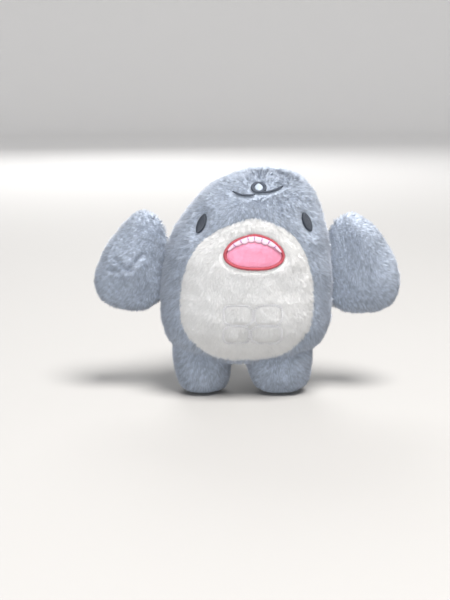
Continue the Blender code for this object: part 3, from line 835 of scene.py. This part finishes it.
def make_eyes(surface):
    slate = two_threads("slate_thread", shade(SLATE, 0.66), shade(SLATE, 0.54), 0.2)
    for side in SIDES:
        middle, tilt = middle_of(f"eye_{side}"), EYE_TILTS[side]
        edge_a, edge_b = [], []
        for share in np.linspace(-0.985, 0.985, 40):
            half = EYE_HALF[0] * (1.0 - share * share) ** 0.62
            along = EYE_HALF[1] * share
            for edge, across in ((edge_a, -half), (edge_b, half)):
                x = middle[0] + across * math.cos(tilt) + along * math.sin(tilt)
                z = middle[2] - across * math.sin(tilt) + along * math.cos(tilt)
                edge.append((x, z))
        eye = satin(f"eye_{side}_stitches", surface, edge_a, edge_b, lift=0.0012,
                    crown=0.0014, radius=0.00030, materials=slate, skew=0.5)
        finish_piece(eye, "torso", "slate_embroidery", f"eye_{side}")


def band_edges(path, half_width):
    """Both edges of a narrow band along a flat path."""
    path = np.array(path)
    along = unit(np.gradient(path, axis=0))
    across = np.stack([-along[:, 1], along[:, 0]], axis=1)
    taper = np.minimum(1.0, 0.45 + 3.0 * np.minimum(np.arange(len(path)),
                                                   np.arange(len(path))[::-1]) / len(path))
    offset = across * half_width * taper[:, None]
    return (path - offset).tolist(), (path + offset).tolist()


def snout_paths():
    """The two lines that run out from under the snout ring, as (x, z) points."""
    ring = middle_of("snout_ring")
    paths = {}
    for name, side in SIDES.items():
        low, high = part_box(f"snout_line_{name}")
        start = (ring[0] + side * 0.0035, low[2] + 0.0008)
        tip = ((high if side > 0 else low)[0], high[2] - 0.0008)
        sag = 0.0006 if side < 0 else 0.0004
        path = []
        for share in np.linspace(0.0, 1.0, 40):
            bow = sag * 4.0 * share * (1.0 - share)
            rise = (tip[1] - start[1]) * (share ** (3.0 if side < 0 else 1.3))
            path.append((start[0] + (tip[0] - start[0]) * share, start[1] + rise - bow))
        paths[name] = path
    return paths


def make_snout(surface):
    slate = two_threads("snout_thread", SLATE, shade(SLATE, 0.8), 0.2)
    middle, half = middle_of("snout_ring"), half_of("snout_ring")

    def ring_point(turn, share):
        return (middle[0] + half[0] * share * math.cos(turn),
                middle[2] + half[2] * share * math.sin(turn))

    turns = spaced_turns(lambda t: ring_point(t, 1.0), THREAD_PITCH)[:-1]
    ring = satin("snout_ring_stitches", surface, [ring_point(t, 1.0) for t in turns],
                 [ring_point(t, 0.56) for t in turns], lift=0.0016, crown=0.0009,
                 radius=0.00028, materials=slate)
    finish_piece(ring, "torso", "slate_embroidery", "snout_ring")

    left, right = [], []
    for share in np.linspace(-0.96, 0.96, 14):
        width = 0.58 * math.sqrt(1.0 - share * share)
        left.append((middle[0] - half[0] * width, middle[2] + half[2] * 0.58 * share))
        right.append((middle[0] + half[0] * width, middle[2] + half[2] * 0.58 * share))
    # The white dot's thread is dulled to grey blue, as painted shade against the top light
    dot = satin("snout_dot_stitches", surface, left, right, lift=0.0014, crown=0.0010,
                radius=0.00034, materials=[thread("white_dot_thread_painted_shade", DOT_THREAD_PAINTED_SHADE, 0.03)],
                skew=0.2)
    finish_piece(dot, "torso", "white_embroidery", "snout_dot")

    for name, path in snout_paths().items():
        edge_a, edge_b = band_edges(path, 0.00075)
        line = satin(f"snout_line_{name}_stitches", surface, edge_a, edge_b, lift=0.0014,
                     crown=0.0009, radius=0.00030, materials=slate)
        finish_piece(line, "torso", "slate_embroidery", f"snout_line_{name}")


def make_pad_stitches(surface):
    white = [thread("pad_thread", PAD_THREAD, 0.04)]
    for pad in PADS:
        middle, half = middle_of(pad), half_of(pad)

        def point(turn, grow):
            x = (half[0] + grow) * float(signed_power(math.cos(turn), 2.0 / PAD_POWER))
            z = (half[2] + grow) * float(signed_power(math.sin(turn), 2.0 / PAD_POWER))
            return middle[0] + x, middle[2] + z

        turns = spaced_turns(lambda t: point(t, 0.0), PAD_PITCH)[:-1]
        ticks = satin(f"{pad}_ticks", surface, [point(t, 0.0008) for t in turns],
                      [point(t, -0.0014) for t in turns], lift=0.0024, crown=0.0008,
                      radius=0.00034, materials=white, skew=0.0)
        finish_piece(ticks, "torso", "white_thread", pad)


def make_closing_seam(surface):
    low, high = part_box("closing_seam")
    left, right = [], []
    for i in range(CLOSING_STITCHES):
        z = low[2] + (high[2] - low[2]) * i / (CLOSING_STITCHES - 1)
        x = float(body_lean(np.array(z)))
        left.append((x - 0.0016, z))
        right.append((x + 0.0016, z + 0.0009))
    seam = satin("closing_seam_stitches", surface, left, right, lift=0.0010, crown=0.0006,
                 radius=0.00024, materials=[thread("grey_closing_thread", shade(GREY, 0.7))],
                 side=1, skew=0.0)
    finish_piece(seam, "torso", "grey_thread", "closing_seam")


# ---- the body's covers and pile

def near_path(roots, path):
    """Distance of each root from a flat path, seen from the front."""
    path = np.array(path)
    x_off = roots[:, 0][:, None] - path[:, 0][None, :]
    z_off = roots[:, 2][:, None] - path[:, 1][None, :]
    return np.sqrt((x_off ** 2 + z_off ** 2).min(axis=1))


def front_pile_size(roots):
    """No pile under the embroidery, and short pile beside it."""
    x, z = roots[:, 0], roots[:, 2]
    size = np.ones(len(roots))
    for side in SIDES:
        share = eye_share(side, x, z)
        size *= 0.5 * ease(share, 0.98, 1.02) + 0.5 * ease(share, 1.0, 1.9)
    share = mouth_share(x, z)
    size *= 0.5 * ease(share, 0.99, 1.0) + 0.5 * ease(share, 1.0, 1.10)
    ring, half = middle_of("snout_ring"), half_of("snout_ring")
    away = np.hypot((x - ring[0]) / half[0], (z - ring[2]) / half[2])
    size *= 0.4 * ease(away, 0.99, 1.0) + 0.6 * ease(away, 1.0, 1.9)
    for path in snout_paths().values():
        distance = near_path(roots, path)
        size *= 0.35 * ease(distance, 0.0007, 0.0009) + 0.65 * ease(distance, 0.0009, 0.0032)
    for pad in PADS:
        line = np.abs(pad_share(pad, x, z) - 1.0) * min(half_of(pad)[0], half_of(pad)[2])
        size *= 0.55 + 0.45 * ease(line, 0.0004, 0.0020)
    return size


def body_comb(points):
    out = (points[:, 0] - body_lean(points[:, 2])) / HALF_WIDTH
    low = ease(-points[:, 2], -SEAT_Z - 0.03, -SEAT_Z)
    side = np.sign(points[:, 1] - BODY_Y)
    high = ease(points[:, 2], CROWN_Z - 0.035, CROWN_Z)
    return np.stack([(0.55 - 0.30 * high) * out, side * (0.15 + 0.35 * high - 0.6 * low),
                     -1.0 + 0.6 * low], axis=1)


def belly_comb(points):
    out = (points[:, 0] - body_lean(points[:, 2])) / HALF_WIDTH
    return np.stack([0.5 * out, np.zeros(len(points)), -np.ones(len(points))], axis=1)


def cover_piece(name, skin, chosen, made):
    """A part of a skin as its own closed cloth cover, with the cloth's thickness."""
    faces = [skin.faces[i] for i in chosen]
    used = sorted({index for face in faces for index in face})
    place = {index: i for i, index in enumerate(used)}
    cover = mesh_object(name, skin.points[used],
                        [tuple(place[index] for index in face) for face in faces], [made])
    solid = cover.modifiers.new("thickness", "SOLIDIFY")
    solid.thickness = SKIN_THICKNESS
    solid.offset = -1.0
    return cover


# Each panel's CAD nodes, and its pile: strands for each square millimetre, length, strand
# radius, how far the tips of a tuft gather, and the seed of its draws
PANELS = {
    "belly": (["belly_panel"], 3.1, 0.0040, 0.00031, 0.38, 21),
    "body_front": (["body_front_panel", "body_stuffing"], 2.7, 0.0050, 0.00027, 0.48, 31),
    "back_left": (["back_panel_left"], 2.6, 0.0050, 0.00027, 0.48, 41),
    "back_right": (["back_panel_right"], 2.6, 0.0050, 0.00027, 0.48, 51),
}
SIDE_SEAM = (0.0014, 0.0028)               # depth and width
BELLY_SEAM = (0.0007, 0.0022)


def panels_of(skin, items, places):
    """Which faces or triangles belong to each panel, and which to the toy's left side."""
    ring = skin.rings_of(items)
    belly = ring < BELLY_RINGS - 1
    front = (ring < BELLY_RINGS + FRONT_RINGS - 1) & ~belly
    left = places[:, 0] > body_lean(places[:, 2])
    back = ~belly & ~front
    return {"belly": belly, "body_front": front, "back_left": back & left,
            "back_right": back & ~left}, left


def make_body(grey_cloth_painted_shade, white_cloth_painted_shade, grey_shades, white_shades):
    skin, belly_seam, side_seam, centre_back = make_body_skin()
    inflate("body", skin, belly_seam + side_seam + centre_back, 0.004, 3.0, 0.0030)
    shape_face(skin)
    press_seams(skin, belly_seam, *BELLY_SEAM)
    press_seams(skin, side_seam, *SIDE_SEAM)
    press_seams(skin, centre_back, *SIDE_SEAM)

    middles = np.array([skin.points[list(face)].mean(axis=0) for face in skin.faces])
    faces_of, _ = panels_of(skin, skin.faces, middles)
    triangles_in, left = panels_of(skin, skin.triangles,
                                   skin.points[skin.triangles].mean(axis=1))
    for name, (nodes, density, length, radius, pull, seed) in PANELS.items():
        cloth, shades, comb, slot_name = (
            (white_cloth_painted_shade, white_shades, belly_comb, "white_plush") if name == "belly"
            else (grey_cloth_painted_shade, grey_shades, body_comb, "grey_plush"))
        cover = cover_piece(f"{name}_cover", skin, np.where(faces_of[name])[0], cloth)
        finish_piece(cover, "torso", slot_name, *nodes)
        inside = triangles_in[name]
        areas = {name: inside}
        if name == "body_front":
            areas = {"body_front_left": inside & left, "body_front_right": inside & ~left}
        keep = front_pile_size if name in ("belly", "body_front") else None
        for step, (area, chosen) in enumerate(areas.items()):
            pile = grow_pile(f"{area}_pile", skin, np.where(chosen)[0], density, length, comb,
                             shades, seed + 100 * step, keep, radius=radius, clump_pull=pull)
            finish_piece(pile, "torso", slot_name)
    return skin


# ---- limbs

JOINTS = {joint["name"]: joint for joint in frame["joints"]}

# A flipper's outline, as (share of its span, height) before it is raised to its CAD box
FLIPPER_OUTLINE = [
    (-0.22, 0.1000), (-0.14, 0.0850), (0.08, 0.0745), (0.36, 0.0705), (0.74, 0.0750),
    (0.96, 0.0880), (1.00, 0.1050), (0.87, 0.1280), (0.58, 0.1490), (0.30, 0.1600),
    (0.13, 0.1600), (-0.06, 0.1530), (-0.16, 0.1410), (-0.24, 0.1230),
]
FLIPPER_LOW_Z = 0.0701       # the outline's lowest point
FLIPPER_MIDDLE = (0.46, 0.1080)
FLIPPER_TRIM = {"left": 0.0, "right": 0.10}
FLIPPER_TRIM_Z = (0.1050, 0.1600)
FLIPPER_CREASES = [           # a three-armed fold in the front of the right flipper
    ((0.0370, 0.1200), (0.0240, 0.1105)), ((0.0405, 0.1095), (0.0240, 0.1105)),
    ((0.0240, 0.1105), (0.0128, 0.1225)),
]
CREASE_GROOVE, CREASE_RIDGE = (0.0012, 0.0019), (0.0005, 0.0020, 0.0046)
# The fin's and tail's outlines, as (distance out from the seam, distance along it)
FIN_OUTLINE = [
    (-0.0060, 0.0000), (-0.0050, -0.0180), (0.0090, -0.0200), (0.0290, -0.0215),
    (0.0330, -0.0165), (0.0240, 0.0040), (0.0100, 0.0185), (-0.0050, 0.0200),
]
TAIL_OUTLINE = [
    (-0.0060, 0.0000), (-0.0050, -0.0140), (0.0110, -0.0150), (0.0300, -0.0225),
    (0.0400, -0.0205), (0.0390, -0.0030), (0.0455, 0.0230), (0.0420, 0.0300),
    (0.0270, 0.0235), (0.0110, 0.0150), (-0.0050, 0.0140),
]
LIMB_TURNS = 96
LIMB_RINGS = 20
LIMB_PILE = 0.0045
LEG_POWER = 2.3              # the plan of a leg
FOOT_POWER = 2.0
LEG_ROUND_Z = 0.0310
LEG_INSIDE_Z = 0.0460        # the leg's skin ends here, inside the body
LEG_SKIN_Z = 0.0008
SOLE_SHARE = 0.38
SOLE_RINGS, LEG_RINGS, TOP_RINGS = (0.2, 0.4, 0.6, 0.8, 0.97), 30, (0.75, 0.5, 0.25)


def smooth_outline(points, steps):
    """Closed Catmull-Rom curve through a few points, as evenly spaced samples."""
    points = np.array(points)
    fine = []
    count = len(points)
    for i in range(count):
        a, b, c, d = (points[(i + k) % count] for k in range(-1, 3))
        for t in np.arange(12) / 12.0:
            bend = 2.0 * a - 5.0 * b + 4.0 * c - d
            twist = 3.0 * b - a - 3.0 * c + d
            fine.append(0.5 * (2.0 * b + (c - a) * t + bend * t * t + twist * t ** 3))
    fine = np.array(fine + fine[:1])
    along = travelled(fine)
    wanted = along[-1] * np.arange(steps) / steps
    return np.stack([np.interp(wanted, along, fine[:, k]) for k in range(2)], axis=1)


class Limb:
    """A stuffed limb on the body: a pillow on its seam, made from a flat outline."""

    def __init__(self, name, joint, out, along, outline, middle, half_thick, taper,
                 origin=None):
        self.name = name
        self.anchor = np.array(JOINTS[joint]["pos_m"])
        origin = self.anchor if origin is None else np.array(origin)
        self.out = np.array(out)
        along = np.array(along)
        across = np.cross(self.out, along)
        middle = np.array(middle)
        arm = smooth_outline(outline, LIMB_TURNS) - middle
        arm *= 1.0 - LIMB_SKIN_DEPTH / np.linalg.norm(arm, axis=1, keepdims=True)
        rings = []
        shares = [math.sin(0.5 * math.pi * i / LIMB_RINGS) for i in range(1, LIMB_RINGS + 1)]
        for side, order in ((1.0, shares), (-1.0, shares[-2::-1])):
            for r in order:
                flat = middle + arm * r
                thin = np.sqrt(np.clip((flat[:, 0] + 0.0070) / taper, 0.08, 1.0))
                height = (half_thick - LIMB_SKIN_DEPTH) * rim_height(r) * thin
                rings.append(origin + self.out * flat[:, :1] + along * flat[:, 1:]
                             + across * (side * height)[:, None])
        self.skin = Skin(rings)
        self.rim = [Vector(p) for p in rings[LIMB_RINGS - 1]]

    def dress(self, cloth, shades, nodes, density, seed, comb):
        """Two covers, one for each side of the rim, and pile over both."""
        skin = self.skin
        ring = skin.rings_of(skin.faces)
        halves = (ring < skin.count // 2, ring >= skin.count // 2)
        covers = [cover_piece(f"{self.name}_cover_{letter}", skin, np.where(half)[0], cloth)
                  for letter, half in zip("ab", halves)]
        pile = grow_pile(f"{self.name}_pile", skin, np.arange(len(skin.triangles)), density,
                         LIMB_PILE, lambda points: np.tile(comb, (len(points), 1)), shades,
                         seed, outside_body)
        for piece in (*covers, pile):
            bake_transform(piece)
        for cover in covers:
            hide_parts(*nodes)


def segment_distance(x, z, start, end):
    """Distance of flat points from the straight line between two others."""
    along = np.array(end) - np.array(start)
    share = ((x - start[0]) * along[0] + (z - start[1]) * along[1]) / along.dot(along)
    share = np.clip(share, 0.0, 1.0)
    return np.hypot(x - start[0] - share * along[0], z - start[1] - share * along[1])


def outside_body(roots):
    """No pile where a limb's root goes into the body."""
    return np.where(body_share(roots, SKIN_DEPTH) > 1.0, 1.0, 0.0)


def make_flippers(cloth, shades):
    for name, side in SIDES.items():
        joint = f"flipper_{name}_swing"
        anchor = JOINTS[joint]["pos_m"]
        low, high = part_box(f"flipper_{name}_front_panel")
        span = (high[0] if side > 0 else -low[0]) - side * anchor[0]
        lift = low[2] - FLIPPER_LOW_Z
        outline = []
        for share, z in FLIPPER_OUTLINE:
            up = max(0.0, (z - FLIPPER_TRIM_Z[0]) / (FLIPPER_TRIM_Z[1] - FLIPPER_TRIM_Z[0]))
            outline.append((share * span * (1.0 - FLIPPER_TRIM[name] * up), z + lift))
        _, back_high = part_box(f"flipper_{name}_back_panel")
        middle = (FLIPPER_MIDDLE[0] * span, FLIPPER_MIDDLE[1] + lift)
        flipper = Limb(f"flipper_{name}", joint, (side, 0.0, 0.0), (0.0, 0.0, 1.0), outline,
                       middle, (back_high[1] - low[1]) / 2.0, taper=0.0280,
                       origin=(anchor[0], anchor[1], 0.0))
        skin = flipper.skin
        inflate(f"flipper_{name}", skin, flipper.rim, 0.004, 3.0, 0.0022)
        front = skin.points[:, 1] < BODY_Y
        push = 0.0007 * waves(skin.points, 0.030, 61 + side)
        if name == "right":
            out = np.abs(skin.points[:, 0] - anchor[0])
            for start, end in FLIPPER_CREASES:
                away = segment_distance(out, skin.points[:, 2] - lift, start, end)
                push -= front * bell(away, *CREASE_GROOVE)
                push += front * bell(away, *CREASE_RIDGE)
        skin.swell(push)
        press_seams(skin, flipper.rim, 0.0010, 0.0022)
        nodes = [f"flipper_{name}_{part}" for part in ("front_panel", "back_panel",
                                                       "stuffing")]
        flipper.dress(cloth, shades, nodes, 2.9, 61 + side, (0.75 * side, -0.40, -0.65))


def make_back_limbs(cloth, shades):
    for name, joint, outline, middle, seed in (
            ("tail", "tail_wag", TAIL_OUTLINE, (0.0230, 0.0010), 81),
            ("dorsal_fin", "dorsal_fin_flop", FIN_OUTLINE, (0.0130, -0.0030), 91)):
        along = np.array(JOINTS[joint]["axis"])
        out = np.array([0.0, along[2], -along[1]])
        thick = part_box(f"{name}_panel_left")[1][0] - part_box(f"{name}_panel_right")[0][0]
        limb = Limb(name, joint, out, along, outline, middle, thick / 2.0 + 0.0012,
                    taper=0.0120)
        skin = limb.skin
        inflate(name, skin, limb.rim, 0.0035, 3.0, 0.0018, 0.0040)
        skin.swell(0.0005 * waves(skin.points, 0.022, seed))
        press_seams(skin, limb.rim, 0.0008, 0.0020)
        nodes = [f"{name}_{part}" for part in ("panel_left", "panel_right", "stuffing")]
        limb.dress(cloth, shades, nodes, 3.0, seed,
                   out * 0.75 + np.array([0.0, 0.0, -0.65]))


def leg_width(z):
    if z >= LEG_ROUND_Z:
        return 1.0
    down = 1.0 - max(0.0, z) / LEG_ROUND_Z
    return SOLE_SHARE + (1.0 - SOLE_SHARE) * (1.0 - down ** FOOT_POWER) ** (1.0 / FOOT_POWER)


def make_legs(cloth, shades):
    for name, side in SIDES.items():
        low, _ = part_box(f"leg_{name}_front_panel")
        _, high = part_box(f"leg_{name}_back_panel")
        middle = (np.array(low) + np.array(high)) / 2.0
        half = (np.array(high) - np.array(low)) / 2.0 - LIMB_SKIN_DEPTH
        turn = np.arange(LIMB_TURNS) * 2.0 * math.pi / LIMB_TURNS

        def level(share, z):
            x = middle[0] + half[0] * share * signed_power(np.cos(turn), 2.0 / LEG_POWER)
            y = middle[1] + half[1] * share * signed_power(np.sin(turn), 2.0 / LEG_POWER)
            return np.stack([x, y, np.full(len(turn), z)], axis=1)

        rings = [level(SOLE_SHARE * share, LEG_SKIN_Z) for share in SOLE_RINGS]
        for step in range(1, LEG_RINGS + 1):
            z = LEG_SKIN_Z + (LEG_INSIDE_Z - LEG_SKIN_Z) * step / LEG_RINGS
            rings.append(level(leg_width(z - LEG_SKIN_Z + 0.0006), z))
        walls = rings[len(SOLE_RINGS):]
        rings += [level(share, LEG_INSIDE_Z) for share in TOP_RINGS]
        skin = Skin(rings)
        held = [Vector(p) for p in (*rings[len(SOLE_RINGS) - 1], *walls[-1])]
        inflate(f"leg_{name}", skin, held, 0.005, 3.0, 0.0014, 0.0045)
        skin.swell(0.0006 * waves(skin.points, 0.024, 100 + side))
        skin.points[:, 2] = np.maximum(skin.points[:, 2], LEG_SKIN_Z)
        skin.settle()
        seams = [Vector(ring[k]) for k in (0, LIMB_TURNS // 2) for ring in walls]
        press_seams(skin, seams, 0.0006, 0.0020)
        cover = cover_piece(f"leg_{name}_cover", skin, np.arange(len(skin.faces)), cloth)

        def comb(points):
            out = points - middle
            out[:, 2] = -0.012
            return out

        def keep(roots):
            size = outside_body(roots)
            size *= 0.30 + 0.70 * ease(roots[:, 2], LEG_SKIN_Z, 0.009)
            return np.where(roots[:, 2] > LEG_SKIN_Z + 0.0004, size, 0.0)

        pile = grow_pile(f"leg_{name}_pile", skin, np.arange(len(skin.triangles)), 3.0, 0.0044,
                         comb, shades, 110 + side, keep)
        places = np.empty(len(pile.data.vertices) * 3, np.float32)
        pile.data.vertices.foreach_get("co", places)
        places[2::3] = np.maximum(places[2::3], 0.0002)      # no strand goes into the floor
        pile.data.vertices.foreach_set("co", places)
        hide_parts(*[f"leg_{name}_{part}" for part in ("front_panel", "back_panel",
                                                               "sole", "stuffing")])
        for piece in (cover, pile):
            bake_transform(piece)


# ---- studio

FLOOR_RADIUS = 3.4           # a round floor that sweeps up into a low wall
SWEEP_RADIUS = 1.0
WALL_HEIGHT = 2.6
FLOOR_TURNS = 96
PAINTED_LIGHT_FROM = 0.7              # painted light: the paper is painted paler from this radius to the wall, making up for the lamps' light falling off there
# the paper's tone near the toy, and its paler tone at the wall, which is painted light
FLOOR_TONE = (0.340, 0.334, 0.326)
WALL_TONE = (0.640, 0.634, 0.626)
SKY, SKY_STRENGTH = (0.90, 0.93, 1.0, 1.0), 0.36
# Lamps, as name, place, what it points at, width, watts and colour
LAMPS = (
    ("key", (0.50, -0.95, 2.45), (0.0, 0.0, 0.10), 1.3, 160.0, (1.0, 0.98, 0.96)),
    ("fill", (-0.5, -2.5, 0.35), (0.0, 0.0, 0.08), 1.4, 31.0, (0.93, 0.96, 1.0)),
    ("rim", (-0.3, 2.1, 1.3), (0.0, 0.0, 0.12), 1.4, 36.0, (1.0, 1.0, 1.0)),
    ("background", (0.0, 1.6, 2.7), (0.0, 4.4, 0.7), 1.6, 12.0, (1.0, 1.0, 1.0)),
)
CAMERA_ELEVATION = math.radians(12.0)
CAMERA_DISTANCE = 1.0
LENS = 68.4
AIM = (-0.0199, -0.0080)     # the toy stands a little off the middle of the frame
AIM_BACK, AIM_DOWN = 0.0021, 0.010


def paper_material():
    """Matt backdrop paper, painted paler towards the wall: painted light where less light
    falls.
    """
    paper, shader = new_material("pale_paper", FLOOR_TONE, 0.8)
    tree = paper.node_tree
    place = tree.nodes.new("ShaderNodeTexCoord")
    reach = tree.nodes.new("ShaderNodeVectorMath")
    reach.operation = "LENGTH"
    span = tree.nodes.new("ShaderNodeMapRange")
    set_inputs(span, From_Min=PAINTED_LIGHT_FROM, From_Max=FLOOR_RADIUS)
    ramp = tree.nodes.new("ShaderNodeValToRGB")
    ramp.color_ramp.interpolation = "EASE"
    for element, tone in zip(ramp.color_ramp.elements, (FLOOR_TONE, WALL_TONE)):
        element.color = (*tone, 1.0)
    for start, end in ((place.outputs["Object"], reach.inputs[0]),
                       (reach.outputs["Value"], span.inputs["Value"]),
                       (span.outputs["Result"], ramp.inputs["Fac"]),
                       (ramp.outputs["Color"], shader.inputs["Base Color"])):
        tree.links.new(start, end)
    return paper


def make_studio():
    profile = [(radius, 0.0) for radius in (0.4, 1.0, 1.8, 2.6, FLOOR_RADIUS)]
    profile += [(FLOOR_RADIUS + SWEEP_RADIUS * math.sin(a), SWEEP_RADIUS * (1.0 - math.cos(a)))
                for a in np.linspace(0.0, 0.5 * math.pi, 24)[1:]]
    profile.append((FLOOR_RADIUS + SWEEP_RADIUS, WALL_HEIGHT))
    angles = [2.0 * math.pi * i / FLOOR_TURNS for i in range(FLOOR_TURNS)]
    corners = [(radius * math.cos(a), radius * math.sin(a), z)
               for radius, z in profile for a in angles]
    faces = rings_to_faces(len(profile), FLOOR_TURNS)
    faces.append(tuple(range(FLOOR_TURNS))[::-1])
    mesh_object("studio_floor", corners, faces, [paper_material()])

    scene = bpy.context.scene
    scene.view_settings.view_transform = "Standard"
    scene.world = bpy.data.worlds.new("studio_world")
    scene.world.use_nodes = True
    set_inputs(scene.world.node_tree.nodes["Background"], Color=SKY, Strength=SKY_STRENGTH)
    for name, place, target, size, power, colour in LAMPS:
        data = bpy.data.lights.new(name, "AREA")
        data.shape, data.size, data.energy, data.color = "DISK", size, power, colour
        lamp = bpy.data.objects.new(name, data)
        scene.collection.objects.link(lamp)
        lamp.location = place
        way = Vector(target) - Vector(place)
        lamp.rotation_euler = way.to_track_quat("-Z", "Y").to_euler()


def make_camera():
    low, high = CAD_BOX
    target = Vector(((low[0] + high[0]) / 2.0, BODY_Y + AIM_BACK,
                     (low[2] + high[2]) / 2.0 - AIM_DOWN))
    data = bpy.data.cameras.new("camera")
    data.lens = LENS
    data.clip_start = 0.01
    camera = bpy.data.objects.new("camera", data)
    bpy.context.scene.collection.objects.link(camera)
    look = Vector((0.0, math.cos(CAMERA_ELEVATION), -math.sin(CAMERA_ELEVATION)))
    up = Vector((0.0, math.sin(CAMERA_ELEVATION), math.cos(CAMERA_ELEVATION)))
    middle = target + Vector((AIM[0], 0.0, 0.0)) + up * AIM[1]
    camera.location = middle - look * CAMERA_DISTANCE
    camera.rotation_euler = look.to_track_quat("-Z", "Y").to_euler()
    bpy.context.scene.camera = camera


# ---- all of it

def main():
    # The backings keep their own knit tone, darkened below their piles' colour as painted shade
    # for the shadow that falls between strands
    grey_cloth_painted_shade = backing("grey_backing_painted_shade", shade(GREY, 0.78), 0.12)
    white_cloth_painted_shade = backing("white_backing_painted_shade", shade(WHITE, 0.90), 0.03)
    grey_shades = pile_shades("grey_pile", GREY, 0.25)
    white_shades = pile_shades("white_pile", WHITE, 0.03)
    surface = Surface(make_body(grey_cloth_painted_shade, white_cloth_painted_shade, grey_shades, white_shades))
    for make in (make_mouth_edge, make_mouth_patch, make_teeth, make_eyes, make_snout,
                 make_pad_stitches, make_closing_seam):
        make(surface)
    for make in (make_flippers, make_legs, make_back_limbs):
        make(grey_cloth_painted_shade, grey_shades)
    make_studio()
    make_camera()


main()
bpy.context.view_layer.update()
